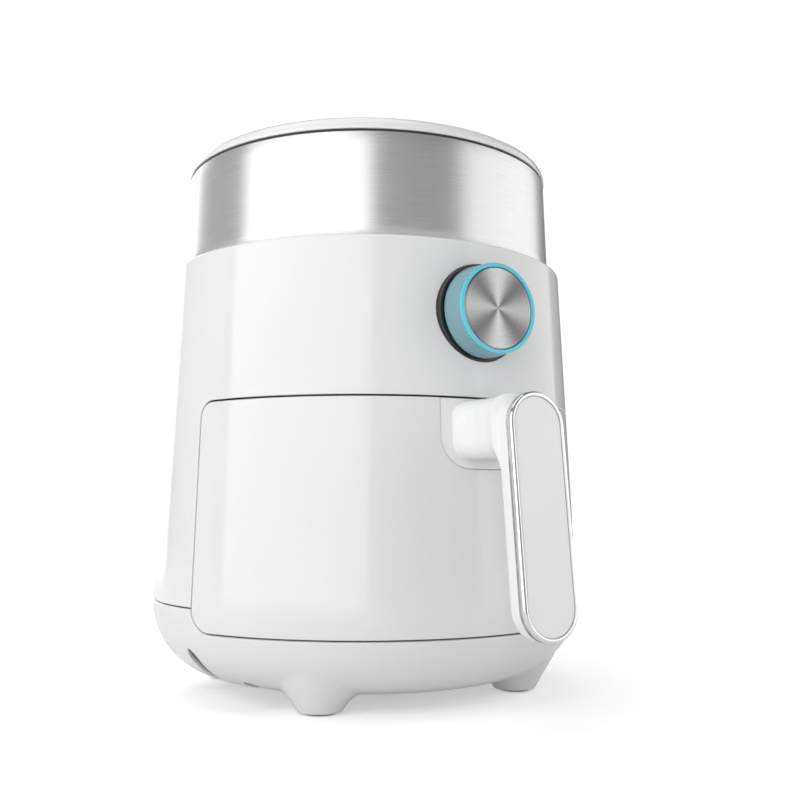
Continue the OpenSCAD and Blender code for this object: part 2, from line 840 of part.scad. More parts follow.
module exhaust_duct() {
    on_axis() color([0.55, 0.56, 0.57]) intersection() {
        body_solid(shell_wall);
        difference() {
            duct_shape(duct_wall);
            duct_shape(0);
            for (x = [-terminal_x, terminal_x]) {
                translate([x, terminal_y, roof_z]) cylinder(h=4 * ferrule_h, r=ferrule_r + 1);
            }
        }
    }
}

module outlet_grille() {
    frame = 3;
    pitch = (outlet_h - frame) / outlet_slots;
    on_axis() color([0.14, 0.14, 0.15]) intersection() {
        difference() {
            body_solid(0.4);
            body_solid(shell_wall);
        }
        difference() {
            translate([-outlet_half_w, 0, outlet_z0]) cube([2 * outlet_half_w, huge, outlet_h]);
            for (i = [0:outlet_slots - 1]) {
                translate([frame - outlet_half_w, 0, outlet_z0 + frame + i * pitch])
                    cube([2 * (outlet_half_w - frame), huge, pitch - frame]);
            }
        }
    }
}

// ---------- motor and fans ----------

module motor_bracket() {
    on_axis() color([0.62, 0.63, 0.64]) {
        difference() {
            translate([0, 0, motor_z]) cylinder(h=motor_plate_t, r=post_circle_r + 4);
            translate([0, 0, motor_z - past]) cylinder(h=5, r=bearing_r + 1);
        }
        for (a = [30, 150, 270]) {
            at_angle(a) translate([0, -post_circle_r, roof_z + can_wall])
                cylinder(h=motor_lift + motor_plate_t / 2, r=3);
        }
    }
}

case_wall = 2;
winding_t = 3.4;
rotor_gap = 0.6;
rotor_h = motor_h - 14;

module motor_case() {
    on_axis() color([0.5, 0.5, 0.52]) translate([0, 0, case_z]) difference() {
        cylinder(h=motor_h, r=motor_r);
        translate([0, 0, case_wall]) cylinder(h=motor_h - 2 * case_wall, r=motor_r - 4);
        translate([0, 0, -past]) cylinder(h=motor_h + 2 * past, r=bearing_r);
    }
}

module motor_windings() {
    on_axis() color([0.72, 0.42, 0.2]) translate([0, 0, case_z + (motor_h - rotor_h) / 2])
        ring(motor_r - 4, motor_r - 4 - winding_t, rotor_h);
}

module motor_bearings() {
    on_axis() color([0.75, 0.6, 0.32]) for (z = [case_z, case_z + motor_h - bearing_h]) {
        translate([0, 0, z]) ring(bearing_r, shaft_r + running_clear, bearing_h);
    }
}

module motor_shaft() {
    on_axis() color([0.78, 0.78, 0.8]) translate([0, 0, shaft_z0])
        cylinder(h=shaft_z1 - shaft_z0, r=shaft_r);
}

module motor_rotor() {
    on_axis() color([0.45, 0.45, 0.47]) translate([0, 0, case_z + (motor_h - rotor_h) / 2])
        ring(motor_r - 4 - winding_t - rotor_gap, shaft_r, rotor_h);
}

// A hub, a disc and slanted blades between the hub and radius r
module fan(r, hub_r, h, disc_z, blades, lean) {
    blade_t = 0.8;
    difference() {
        union() {
            cylinder(h=h, r=hub_r);
            translate([0, 0, disc_z]) cylinder(h=blade_t, r=r);
            for (i = [0:blades - 1]) {
                rotate([0, 0, i * 360 / blades]) translate([hub_r - 1, 0, 0]) rotate([0, 0, lean])
                    translate([0, -blade_t / 2, 0]) cube([r - hub_r - 2, blade_t, h]);
            }
        }
        translate([0, 0, -past]) cylinder(h=h + 2 * past, r=shaft_r);
    }
}

module convection_fan() {
    on_axis() color([0.7, 0.7, 0.72]) translate([0, 0, fan_z0])
        fan(fan_run_r, 8, fan_z1 - fan_z0, fan_z1 - fan_z0 - 0.8, fan_blades, 14);
}

module cooling_fan() {
    on_axis() color([0.2, 0.2, 0.21]) translate([0, 0, cooling_z])
        fan(cooling_fan_r, 7, 9, 0, cooling_blades, 20);
}

module fan_nut() {
    nut_t = 3;
    on_axis() color([0.66, 0.66, 0.68]) translate([0, 0, fan_z0 - nut_t]) difference() {
        cylinder(h=nut_t, r=6, $fn=6);
        translate([0, 0, -past]) cylinder(h=nut_t + 2 * past, r=shaft_r);
    }
}

// ---------- controls and wiring ----------

module thermostat() {
    on_axis() color([0.78, 0.78, 0.78]) translate([post_circle_r + 14, 0, roof_z + can_wall]) {
        cylinder(h=8, r=9);
        cylinder(h=12, r=3);
    }
}

module thermal_cutout() {
    on_axis() color([0.85, 0.8, 0.66]) at_angle(-40) translate([0, -post_circle_r - 12, roof_z + can_wall]) {
        cylinder(h=6, r=7);
        translate([-10, -2, 0]) cube([20, 4, 1]);
    }
}

terminal_z = inlet_z + 24;
terminal_h = 16;

module terminal_block() {
    on_axis() color([0.88, 0.86, 0.78]) intersection() {
        body_solid(shell_wall);
        at_angle(terminal_az) translate([-9, -huge, terminal_z])
            cube([18, huge - can_r - can_wall - 5, terminal_h]);
    }
}

wire_r = 1.4;
// Place of each wire across the terminal block, height above the chamber and colour
wire_rows = [[0, 16, [0.75, 0.1, 0.08]], [-6, 24, [0.1, 0.1, 0.12]]];

// One wire from the terminal block up the back, over the chamber and in to the timer's side
module supply_wire(shift, rise) {
    riser_r = can_r + can_wall + can_flange_w + wire_r + 0.6;
    x0 = riser_r * sin(terminal_az) + shift;
    y0 = -riser_r * cos(terminal_az) - shift / 2;
    z0 = terminal_z + terminal_h;
    z1 = roof_z + rise;
    x1 = post_circle_r + 22 + shift;
    x2 = timer_w / 2 + 10;
    y2 = timer_face_y + timer_d / 2 - shift;
    wire([[x0, y0, z0], [x0, y0, z1], [x1, post_circle_r, z1], [x1, -post_circle_r, z1], [x2, y2, z1],
          [timer_w / 2, y2, z1]], wire_r);
}

module wiring() {
    on_axis() for (w = wire_rows) {
        color(w[2]) supply_wire(w[0], w[1]);
    }
}

module cord_inlet() {
    reach = housing_r(inlet_z) + inlet_proud;
    inner_y = can_r + can_wall + 7;
    on_axis() color([0.12, 0.12, 0.12]) difference() {
        union() {
            translate([0, reach, inlet_z]) towards_front() cylinder(h=reach - inner_y, r=inlet_barrel_r);
            difference() {
                translate([0, reach - 0.6, inlet_z]) towards_front() cylinder(h=20, r=inlet_flange_r);
                body_solid(0);
            }
        }
        translate([0, reach + past, inlet_z]) towards_front() cylinder(h=60, r=inlet_bore_r);
    }
}

switch_y0 = can_r + can_wall + 2.7;
switch_d = 10;
switch_h = 12;

module microswitch() {
    on_axis() color([0.1, 0.1, 0.1]) difference() {
        translate([-10, switch_y0, can_z1 - can_wall - switch_h]) cube([20, switch_d, switch_h]);
        translate([0, switch_y0 + switch_d - 1.5, switch_z]) towards_front()
            cylinder(h=switch_d, r=plunger_r + running_clear);
    }
}

module switch_plunger() {
    plunger_y0 = pan_rim_r + 0.4;
    on_axis() color([0.85, 0.2, 0.15]) translate([0, switch_y0 + switch_d - 4, switch_z])
        towards_front() cylinder(h=switch_y0 + switch_d - 4 - plunger_y0, r=plunger_r);
}

module timer_case() {
    on_axis() color([0.82, 0.82, 0.8]) difference() {
        union() {
            translate([-timer_w / 2, timer_face_y, knob_z - timer_h / 2]) cube([timer_w, timer_d, timer_h]);
            translate([0, timer_face_y, knob_z]) towards_front() cylinder(h=6, r=bushing_r);
        }
        translate([0, timer_face_y + 8, knob_z]) towards_front()
            cylinder(h=20, r=spindle_r + running_clear);
    }
}

module timer_bell() {
    bell_y = timer_face_y + timer_d;
    bell_r = timer_h / 2 - 3;
    on_axis() color([0.8, 0.8, 0.82]) difference() {
        translate([0, bell_y + 7, knob_z]) towards_front() cylinder(h=7, r=bell_r);
        translate([0, bell_y + 6, knob_z]) towards_front() difference() {
            cylinder(h=8, r=bell_r - 1);
            cylinder(h=8, r=2.5);
        }
    }
}

module timer_nut() {
    on_axis() color([0.66, 0.66, 0.68]) translate([0, timer_face_y - 2.4, knob_z]) towards_front()
        difference() {
            cylinder(h=nut_h, r=8.5, $fn=6);
            translate([0, 0, -past]) cylinder(h=nut_h + 2 * past, r=bushing_r);
        }
}

module knob_bezel() {
    floor_y = timer_face_y - 2.4;
    on_axis() color([0.04, 0.04, 0.05]) difference() {
        union() {
            translate([0, timer_face_y, knob_z]) towards_front()
                cylinder(h=timer_face_y - bezel_face_y, r=bezel_r);
            intersection() {
                translate([0, timer_face_y, knob_z]) towards_front() cylinder(h=30, r=bezel_r + 3);
                body_solid(shell_wall);
            }
        }
        translate([0, floor_y, knob_z]) towards_front() cylinder(h=30, r=bezel_r - 3.2);
        translate([0, timer_face_y + past, knob_z]) towards_front() cylinder(h=30, r=bushing_r);
    }
}

module timer_spindle() {
    front_y = knob_face_y + knob_ring_t + knob_wall;
    back_y = timer_face_y + 7;
    on_axis() color([0.7, 0.7, 0.72]) translate([0, back_y, knob_z]) towards_front()
        cylinder(h=back_y - front_y, r=spindle_r);
}

module knob_body() {
    front_y = knob_face_y + knob_ring_t;
    on_axis() color([0.5, 0.68, 0.73]) translate([0, knob_back_y, knob_z]) towards_front() difference() {
        cylinder(h=knob_back_y - front_y, r1=knob_base_r, r2=knob_r);
        difference() {
            translate([0, 0, -past])
                cylinder(h=knob_back_y - front_y - knob_wall + past, r=knob_r - knob_wall);
            cylinder(h=huge, r=spindle_r + 2.5);
        }
        translate([0, 0, -past]) cylinder(h=knob_back_y - front_y - knob_wall + past, r=spindle_r);
    }
}

module knob_ring() {
    on_axis() color([0.35, 0.82, 0.9]) translate([0, knob_face_y + knob_ring_t, knob_z]) towards_front()
        ring(knob_r, knob_r - knob_ring_w, knob_ring_t);
}

module knob_cap() {
    on_axis() color([0.72, 0.72, 0.74]) translate([0, knob_face_y + knob_cap_recess + knob_cap_t, knob_z])
        towards_front() cylinder(h=knob_cap_t, r=knob_r - knob_ring_w);
    on_axis() color([0.72, 0.72, 0.74]) translate([0, knob_face_y + knob_ring_t, knob_z])
        towards_front() cylinder(h=knob_ring_t - knob_cap_recess - knob_cap_t / 2, r=knob_r - knob_ring_w - 2);
}

// ---------- drawer ----------

module drawer_front() {
    on_axis() color([0.95, 0.95, 0.95]) difference() {
        intersection() {
            difference() {
                body_solid(0);
                body_solid(front_wall, shoulder_z + past);
            }
            drawer_cutter(-drawer_gap / 2);
        }
        towards_front() linear_extrude(height=huge) bracket_outline(0.1);
        drawer_screw_holes();
    }
}

backing_screw_angles = [-50, 50];
backing_screw_zs = [drawer_z0 + 16, drawer_z1 - 20];
drawer_screw_l = backing_t + front_wall / 2;
// Gap that lets a flat screw head sit on a curved wall
head_seat_gap = 0.2;

// Radius of the drawer frame's inner face at a height
function backing_seat_r(z) = housing_r(z) - front_wall - backing_t;

module drawer_screw_holes() {
    for (a = backing_screw_angles) {
        for (z = backing_screw_zs) {
            at_angle(a) translate([0, -backing_seat_r(z) + past, z]) towards_front()
                cylinder(h=drawer_screw_l + past, r=m3_r);
        }
    }
}

module drawer_backing() {
    on_axis() color([0.2, 0.2, 0.21]) difference() {
        intersection() {
            difference() {
                body_solid(front_wall);
                body_solid(front_wall + backing_t, shoulder_z + past);
            }
            drawer_cutter(-backing_inset);
        }
        drawer_screw_holes();
        handle_screw_holes();
    }
}

module backing_screws() {
    on_axis() color([0.6, 0.6, 0.62]) for (a = backing_screw_angles) {
        for (z = backing_screw_zs) {
            at_angle(a) translate([0, head_seat_gap - backing_seat_r(z), z]) towards_front()
                screw(m3_r, m3_head_r, 1.8, drawer_screw_l);
        }
    }
}

module handle_screw_holes() {
    for (z = screw_zs) {
        translate([0, 0, z]) towards_front() cylinder(h=backing_r + 16, r=screw_r);
    }
}

module handle_bracket() {
    on_axis() color([0.9, 0.9, 0.9]) difference() {
        intersection() {
            difference() {
                body_solid(bracket_step);
                body_solid(front_wall, shoulder_z + past);
            }
            towards_front() linear_extrude(height=huge) bracket_outline(0);
            drawer_cutter(-drawer_gap / 2);
        }
        handle_screw_holes();
    }
}

module handle_screws() {
    seat_y = -(backing_r - 3);
    on_axis() color([0.6, 0.6, 0.62]) for (z = screw_zs) {
        translate([0, seat_y, z]) towards_front() screw(screw_r, screw_head_r, 2.2, 18);
    }
}

module pan_outline(inset) {
    z0 = pan_z0 + inset;
    corner = pan_corner - inset;
    corner_x = pan_r(z0 + corner) - inset - corner;
    square_top = pan_z1 + (inset > 0 ? past : 0);
    polygon([[0, z0 + corner], [pan_r(z0 + corner) - inset, z0 + corner],
             [pan_r(square_top) - inset, square_top], [0, square_top]]);
    translate([0, z0]) square([corner_x, corner + 0.01]);
    intersection() {
        translate([corner_x, z0 + corner]) circle(r=corner);
        translate([0, z0]) square([huge, corner + 0.01]);
    }
}

module pan() {
    on_axis() color([0.13, 0.13, 0.14]) rotate_extrude() difference() {
        union() {
            pan_outline(0);
            translate([0, pan_z1 - pan_rim_t]) square([pan_rim_r, pan_rim_t]);
        }
        pan_outline(pan_wall);
    }
}

module pan_bracket() {
    half_w = bracket_half_w - 2;
    z0 = drawer_z1 - bracket_h;
    z1 = drawer_z1 - 11;
    wall = 3;
    on_axis() color([0.6, 0.6, 0.62]) difference() {
        intersection() {
            body_solid(front_wall + backing_t);
            translate([-half_w, -huge, z0]) cube([2 * half_w, huge - pan_r0 * 0.8, z1 - z0]);
        }
        rotate_extrude() pan_outline(0);
        translate([0, 0, pan_z1 - pan_rim_t]) cylinder(h=huge, r=pan_rim_r + 0.2);
        translate([wall - half_w, -backing_r + wall, z0 - past])
            cube([2 * (half_w - wall), 9.4, z1 - z0 + 2 * past]);
        handle_screw_holes();
    }
}

module handle_grip() {
    grip_back = trim_t + grip_t;
    on_axis() color([0.9, 0.9, 0.9]) difference() {
        union() {
            handle_slab(0.5, trim_t, grip_back);
            difference() {
                intersection() {
                    towards_front() linear_extrude(height=huge)
                        rounded_window(handle_half_w - 0.5, neck_z0, neck_z1, neck_corner);
                    translate([-huge / 2, handle_y + trim_t + 3, 0]) cube([huge, huge, huge]);
                }
                handle_slab(-past, -past, trim_t);
                body_solid(bracket_step);
                translate([-huge, -backing_r, 0]) cube([2 * huge, huge, huge]);
            }
            difference() {
                towards_front() linear_extrude(height=housing_r(neck_z1) + neck_root_l)
                    rounded_window(neck_root_half_w, neck_z0, neck_z1, neck_corner);
                body_solid(bracket_step);
                translate([-huge, -backing_r, 0]) cube([2 * huge, huge, huge]);
            }
        }
        handle_screw_holes();
    }
}

module handle_trim() {
    on_axis() color([0.8, 0.8, 0.82]) difference() {
        handle_slab(0, 0, trim_t);
        handle_slab(trim_w, -past, plate_recess + plate_t);
    }
}

module handle_plate() {
    on_axis() color([0.92, 0.92, 0.92])
        handle_slab(trim_w, plate_recess, plate_recess + plate_t);
}

// ---------- tray ----------

tray_leg_r = 3;
tray_legs = 4;
bumper_angles = [0, 90, 180, 270];
tray_hub_r = 9;

module tray_holes() {
    rings = floor((tray_r - 6 - tray_hole_r) / tray_hole_pitch);
    for (k = [1:rings]) {
        holes = 6 * k;
        for (i = [0:holes - 1]) {
            rotate([0, 0, (i + 0.5) * 360 / holes]) translate([k * tray_hole_pitch, 0, tray_z - past])
                cylinder(h=tray_t + 2 * past, r=tray_hole_r, $fn=32);
        }
    }
}

module crisper_tray() {
    on_axis() color([0.16, 0.16, 0.17]) {
        difference() {
            union() {
                translate([0, 0, tray_z]) cylinder(h=tray_t, r=tray_r);
                translate([0, 0, tray_z]) ring(tray_r, tray_r - tray_t, tray_edge_h);
            }
            tray_holes();
        }
        for (i = [0:tray_legs - 1]) {
            at_angle(45 + i * 360 / tray_legs) translate([0, -tray_r + 10, tray_z - tray_leg_h])
                cylinder(h=tray_leg_h + 0.1, r=tray_leg_r);
        }
    }
}

module tray_bumpers() {
    on_axis() color([0.1, 0.1, 0.1]) for (a = bumper_angles) {
        intersection() {
            at_angle(a) translate([-5, -huge, tray_z + 1]) cube([10, huge, tray_edge_h - 2]);
            ring(bumper_r, tray_r, huge);
        }
    }
}

lower_base();
rubber_feet();
outer_shell();
head_shell();
steel_band();
lid_gasket();
top_lid();
inner_can();
slide_rails();
chamber_roof();
heater_guard();
heating_element();
element_clips();
chassis_brackets();
chassis_screws();
base_screws();
exhaust_duct();
outlet_grille();
motor_bracket();
motor_case();
motor_windings();
motor_bearings();
thermostat();
thermal_cutout();
terminal_block();
wiring();
cord_inlet();
microswitch();
switch_plunger();
timer_case();
timer_bell();
timer_nut();
knob_bezel();
timer_spindle();
knob_body();
knob_ring();
knob_cap();
motor_shaft();
motor_rotor();
convection_fan();
fan_nut();
cooling_fan();
drawer_front();
drawer_backing();
backing_screws();
handle_bracket();
pan();
pan_bracket();
handle_grip();
handle_screws();
handle_trim();
handle_plate();
crisper_tray();
tray_bumpers();
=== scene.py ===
import json
import math

import bmesh
import bpy
import numpy as np
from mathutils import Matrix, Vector
from mathutils.geometry import delaunay_2d_cdt
from mathutils.kdtree import KDTree


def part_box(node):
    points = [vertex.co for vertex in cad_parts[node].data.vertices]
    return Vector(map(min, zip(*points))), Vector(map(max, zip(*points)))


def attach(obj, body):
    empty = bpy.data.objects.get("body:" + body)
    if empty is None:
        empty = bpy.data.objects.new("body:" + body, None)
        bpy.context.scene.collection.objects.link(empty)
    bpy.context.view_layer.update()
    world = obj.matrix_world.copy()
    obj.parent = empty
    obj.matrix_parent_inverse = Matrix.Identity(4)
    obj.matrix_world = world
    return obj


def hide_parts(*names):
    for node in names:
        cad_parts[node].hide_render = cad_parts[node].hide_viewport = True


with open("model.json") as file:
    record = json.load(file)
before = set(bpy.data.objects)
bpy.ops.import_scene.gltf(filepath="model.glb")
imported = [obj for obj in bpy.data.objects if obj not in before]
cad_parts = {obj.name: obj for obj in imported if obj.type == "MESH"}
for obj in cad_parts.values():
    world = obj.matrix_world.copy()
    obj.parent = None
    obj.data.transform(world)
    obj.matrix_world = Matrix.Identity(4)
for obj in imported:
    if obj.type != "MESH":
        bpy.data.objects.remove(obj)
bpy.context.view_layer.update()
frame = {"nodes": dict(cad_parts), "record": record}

# ---------- sizes, in millimetres from here to make_mesh ----------


def box_mm(node):
    lo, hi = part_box(node)
    return np.array(lo) * 1000, np.array(hi) * 1000


band_lo, band_hi = box_mm("steel_band")
lid_lo, lid_hi = box_mm("top_lid")
cap_lo, cap_hi = box_mm("knob_cap")
knob_hi = box_mm("knob_body")[1]
grille_lo, grille_hi = box_mm("outlet_grille")
inlet_lo, inlet_hi = box_mm("cord_inlet")
bezel_lo, bezel_hi = box_mm("knob_bezel")

AXIS_Y = (band_lo[1] + band_hi[1]) / 2
SHOULDER_Z = band_lo[2]
BAND_Z1 = band_hi[2]
BAND_R0 = (band_hi[0] - band_lo[0]) / 2
BAND_R1 = BAND_R0 - 1.5
LID_TOP = lid_hi[2]
SEAM_R = 108.5
SEAM_Z = 45.6
TAPER = 6.8
BOWL_R = 38.0
BOWL_C = SEAM_R - BOWL_R
SLOPE = TAPER / (SHOULDER_Z - SEAM_Z)
CONE_NR = 1 / math.hypot(1, SLOPE)
CONE_NZ = SLOPE * CONE_NR
R0 = 105.0  # radius at which arc lengths on the side are measured
NTH = 240  # points round each ring of the body
SHELL_T, BASE_T, PANEL_T, BRACKET_T = 2.4, 2.6, 2.6, 2.0
SHOULDER_EDGE = 1.6
HEAD_HOLE_R = 92.0
BRACKET_STEP = 0.5
INLET_HOLE_R = 7.1
SEAM_GAP = 0.3

DRAWER_Z0, DRAWER_Z1 = 34.8, 138.5
EDGE_DIR = math.radians(66)
GAP = 0.8
TOP_R, LOW_R = 8.0, 11.0
U_HALF, U_H, U_R = 21.6, 31.5, 14.0
FOOT_C, FOOT_R = 77.0, 10.4
FOOT_AZ = (45, 135, 225, 315)
BEZEL_R = 22.3


def housing_r(z):
    return SEAM_R - (z - SEAM_Z) * SLOPE


EDGE_X = housing_r((DRAWER_Z0 + DRAWER_Z1) / 2) * math.sin(math.radians(10))


def side_profile(z):
    """Radius and outward normal of the body at heights z above the flat bottom."""
    z = np.asarray(z, float)
    dz = np.clip(SEAM_Z - z, 0, BOWL_R)
    bowl = BOWL_C + np.sqrt(BOWL_R**2 - dz**2)
    low = z < SEAM_Z
    r = np.where(low, bowl, SEAM_R - (z - SEAM_Z) * SLOPE)
    nr = np.where(low, (bowl - BOWL_C) / BOWL_R, CONE_NR)
    nz = np.where(low, -dz / BOWL_R, CONE_NZ)
    return r, nr, nz


def lift_side(p, h):
    """Points (arc length at R0, height) and depth below the surface, to the body's side."""
    a = p[:, 0] / R0
    r, nr, nz = side_profile(p[:, 1])
    q = r - nr * h
    return np.stack([q * np.sin(a), AXIS_Y - q * np.cos(a), p[:, 1] - nz * h], 1)


# ---------- outlines ----------


def line(a, b, step):
    n = max(1, int(math.ceil(math.dist(a, b) / step)))
    t = np.linspace(0, 1, n, endpoint=False)[:, None]
    return np.array(a) * (1 - t) + np.array(b) * t


def arc(c, r, a0, a1, step_deg=5.0):
    n = max(2, int(math.ceil(abs(a1 - a0) / step_deg)))
    t = np.radians(np.linspace(a0, a1, n, endpoint=False))
    return np.stack([c[0] + r * np.cos(t), c[1] + r * np.sin(t)], 1)


def distinct(p, closed=True):
    """A chain without points that repeat the one before."""
    p = np.asarray(p, float)
    far = np.linalg.norm(p - np.roll(p, 1, 0), axis=1) > 1e-4
    if not closed:
        far[0] = True
    return p[far]


def offset(p, d, closed):
    """A chain moved to its left by d, with mitred corners."""
    nxt, prv = np.roll(p, -1, 0), np.roll(p, 1, 0)
    a, b = p - prv, nxt - p
    if not closed:
        a[0], b[-1] = b[0], a[-1]
    a /= np.linalg.norm(a, axis=1)[:, None]
    b /= np.linalg.norm(b, axis=1)[:, None]
    na = np.stack([-a[:, 1], a[:, 0]], 1)
    nb = np.stack([-b[:, 1], b[:, 0]], 1)
    m = na + nb
    m /= np.linalg.norm(m, axis=1)[:, None]
    scale = 1 / np.clip((m * na).sum(1), 0.35, 1)
    return p + m * (scale * d)[:, None]


def inside(points, loops):
    """Even-odd test of points against closed loops."""
    odd = np.zeros(len(points), bool)
    x, y = points[:, 0], points[:, 1]
    for loop in loops:
        a, b = loop, np.roll(loop, -1, 0)
        for i in range(0, len(a), 400):
            ax, ay = a[i:i + 400, 0][:, None], a[i:i + 400, 1][:, None]
            bx, by = b[i:i + 400, 0][:, None], b[i:i + 400, 1][:, None]
            cross = (ay > y) != (by > y)
            with np.errstate(divide="ignore", invalid="ignore"):
                xs = ax + (y - ay) * (bx - ax) / (by - ay)
            odd ^= (np.logical_and(cross, x < xs).sum(0) % 2).astype(bool)
    return odd


def edge_points(pts, side):
    """Points (x', z) in the plane square to the cut's direction, to (arc length, height)."""
    pts = np.asarray(pts)
    r, _, _ = side_profile(pts[:, 1])
    s = R0 * (EDGE_DIR + np.arcsin(np.clip(pts[:, 0] / r, -1, 1)))
    return np.stack([side * s, pts[:, 1]], 1)


def front_points(pts):
    """Points (x, z) seen from the front, to (arc length, height)."""
    pts = np.asarray(pts)
    r, _, _ = side_profile(pts[:, 1])
    return np.stack([R0 * np.arcsin(pts[:, 0] / r), pts[:, 1]], 1)


def back_points(pts):
    """Points (x, z) on the back, to (arc length, height)."""
    return front_points(pts) - [math.pi * R0, 0]


def cut_top(grow, z_from, step=1.6):
    """Upper part of the drawer opening's right edge, from z_from up to the middle top's end."""
    x1, z1, r = EDGE_X + grow, DRAWER_Z1 + grow, TOP_R + grow
    c = (x1 - r, z1 - r)
    pts = [line((x1, z_from), (x1, c[1]), step), arc(c, r, 0, 90), [(c[0], z1)]]
    return edge_points(np.vstack(pts), 1)


def cut_low(grow, z_to, step=1.6):
    """Lower part of the opening's right edge, from the bottom's end up to z_to."""
    x1, z0, r = EDGE_X + grow, DRAWER_Z0 - grow, LOW_R + grow
    c = (x1 - r, z0 + r)
    pts = arc(c, r, -90, 0)
    pts = np.vstack([pts, [(x1, z0 + r)]])
    if z_to > c[1]:
        pts = np.vstack([pts[:-1], line((x1, c[1]), (x1, z_to), step), [(x1, z_to)]])
    else:
        keep = pts[pts[:, 1] < z_to - 0.05]
        xe = c[0] + math.sqrt(max(r * r - (z_to - c[1]) ** 2, 0))
        pts = np.vstack([keep, [(xe, z_to)]])
    return edge_points(pts, 1)


def mirror_chain(p):
    q = p[::-1].copy()
    q[:, 0] *= -1
    return q


# ---------- meshes ----------


def make_mesh(name, verts_mm, faces, smooth=True, merge=1e-6):
    mesh = bpy.data.meshes.new(name)
    mesh.from_pydata((np.asarray(verts_mm) * 0.001).tolist(), [], faces)
    bm = bmesh.new()
    bm.from_mesh(mesh)
    if merge:
        bmesh.ops.remove_doubles(bm, verts=bm.verts, dist=merge)
    bmesh.ops.delete(bm, geom=[e for e in bm.edges if not e.link_faces], context="EDGES")
    bmesh.ops.delete(bm, geom=[v for v in bm.verts if not v.link_faces], context="VERTS")
    bmesh.ops.recalc_face_normals(bm, faces=bm.faces)
    for f in bm.faces:
        f.smooth = smooth
    bm.to_mesh(mesh)
    bm.free()
    obj = bpy.data.objects.new(name, mesh)
    bpy.context.scene.collection.objects.link(obj)
    return obj


class Sheet:
    """A wall cut to an outline: rounded edges, side walls and an inner face."""

    def __init__(self, edge, thick):
        self.edge, self.thick = edge, thick
        self.pts, self.depth, self.links = [], [], []
        self.rims, self.loops = [], []

    def chain(self, p, h, closed):
        i0 = len(self.pts)
        self.pts += [tuple(q) for q in p]
        self.depth += [h] * len(p)
        ids = list(range(i0, i0 + len(p)))
        self.links += list(zip(ids[:-1], ids[1:])) + ([(ids[-1], ids[0])] if closed else [])
        return ids

    def rim(self, p, closed=True, edge=None, steps=4):
        """An outline with the region on its left, rounded over and walled."""
        e = self.edge if edge is None else edge
        p = distinct(p, closed)
        ids = None
        for k in range(steps + 1):
            t = math.pi / 2 * k / steps
            got = self.chain(offset(p, e * (1 - math.cos(t)), closed), e * (1 - math.sin(t)), closed)
            ids = ids or got
        self.chain(offset(p, e * 1.7, closed), 0.0, closed)
        self.rims.append((ids, closed))

    def plain(self, p):
        """An outline that another mesh joins on to."""
        self.chain(p, 0.0, False)

    def seeds(self, p, clear):
        """Inner points, each farther than clear from every point and outline."""
        tree = KDTree(len(self.pts))
        for i, q in enumerate(self.pts):
            tree.insert((q[0], q[1], 0), i)
        tree.balance()
        p = p[inside(p, self.loops)]
        p = [q for q in p if tree.find((q[0], q[1], 0))[2] > clear and self.gap(q) > 0.6 * clear]
        self.pts += [tuple(q) for q in p]
        self.depth += [0.0] * len(p)

    def gap(self, q):
        """Distance from a point to the nearest outline."""
        best = 1e9
        for loop in self.loops:
            a = loop
            d = np.roll(loop, -1, 0) - a
            t = np.clip(((q - a) * d).sum(1) / np.maximum((d * d).sum(1), 1e-12), 0, 1)
            best = min(best, np.hypot(*(a + d * t[:, None] - q).T).min())
        return best

    def build(self, lift, back_lift=None):
        out = delaunay_2d_cdt([Vector(p) for p in self.pts], self.links, [], 0, 1e-6)
        flat = np.array([v[:] for v in out[0]])
        tri = np.array([f for f in out[2] if len(f) == 3])
        depth = np.array([self.depth[o[0]] if o else 0.0 for o in out[3]])
        where = {}
        for i, o in enumerate(out[3]):
            for k in o:
                where[k] = i
        tri = tri[inside(flat[tri].mean(1), self.loops)]
        u, v = flat[tri[:, 1]] - flat[tri[:, 0]], flat[tri[:, 2]] - flat[tri[:, 0]]
        tri = tri[np.abs(u[:, 0] * v[:, 1] - u[:, 1] * v[:, 0]) > 1e-7]
        front = lift(flat, depth)
        back = (back_lift or lift)(flat, np.full(len(flat), self.thick))
        n = len(flat)
        faces = tri.tolist() + (tri[:, ::-1] + n).tolist()
        for ids, closed in self.rims:
            run = [where[i] for i in ids]
            for a, b in zip(run, run[1:] + ([run[0]] if closed else run[:0])):
                if a != b:
                    faces.append([b, a, a + n, b + n])
        return np.vstack([front, back]), faces


def revolve(profile, closed=True, n=NTH):
    """Rings about the body's axis from (radius, height) pairs, starting at the back."""
    prof = np.asarray(profile, float)
    a = -math.pi + 2 * math.pi * np.arange(n) / n
    v = np.stack([np.outer(prof[:, 0], np.sin(a)), AXIS_Y - np.outer(prof[:, 0], np.cos(a)),
                  np.outer(prof[:, 1], np.ones(n))], 2).reshape(-1, 3)
    m = len(prof)
    faces = []
    for i in range(m if closed else m - 1):
        k = (i + 1) % m
        for j in range(n):
            j1 = (j + 1) % n
            faces.append([i * n + j, i * n + j1, k * n + j1, k * n + j])
    return v, faces


def revolve_knob(profile, n=160):
    """A closed profile of (radius, y) turned about the knob's axis."""
    prof = np.asarray(profile, float)
    zc = (cap_lo[2] + cap_hi[2]) / 2
    a = 2 * math.pi * np.arange(n) / n
    v = np.stack([np.outer(prof[:, 0], np.cos(a)), np.outer(prof[:, 1], np.ones(n)),
                  zc + np.outer(prof[:, 0], np.sin(a))], 2).reshape(-1, 3)
    m = len(prof)
    faces = [[i * n + j, i * n + (j + 1) % n, (i + 1) % m * n + (j + 1) % n, (i + 1) % m * n + j]
             for i in range(m) for j in range(n)]
    return v, faces


def corner(c, r, a0, a1, n=6):
    t = np.radians(np.linspace(a0, a1, n + 1))
    return [(c[0] + r * math.cos(k), c[1] + r * math.sin(k)) for k in t]


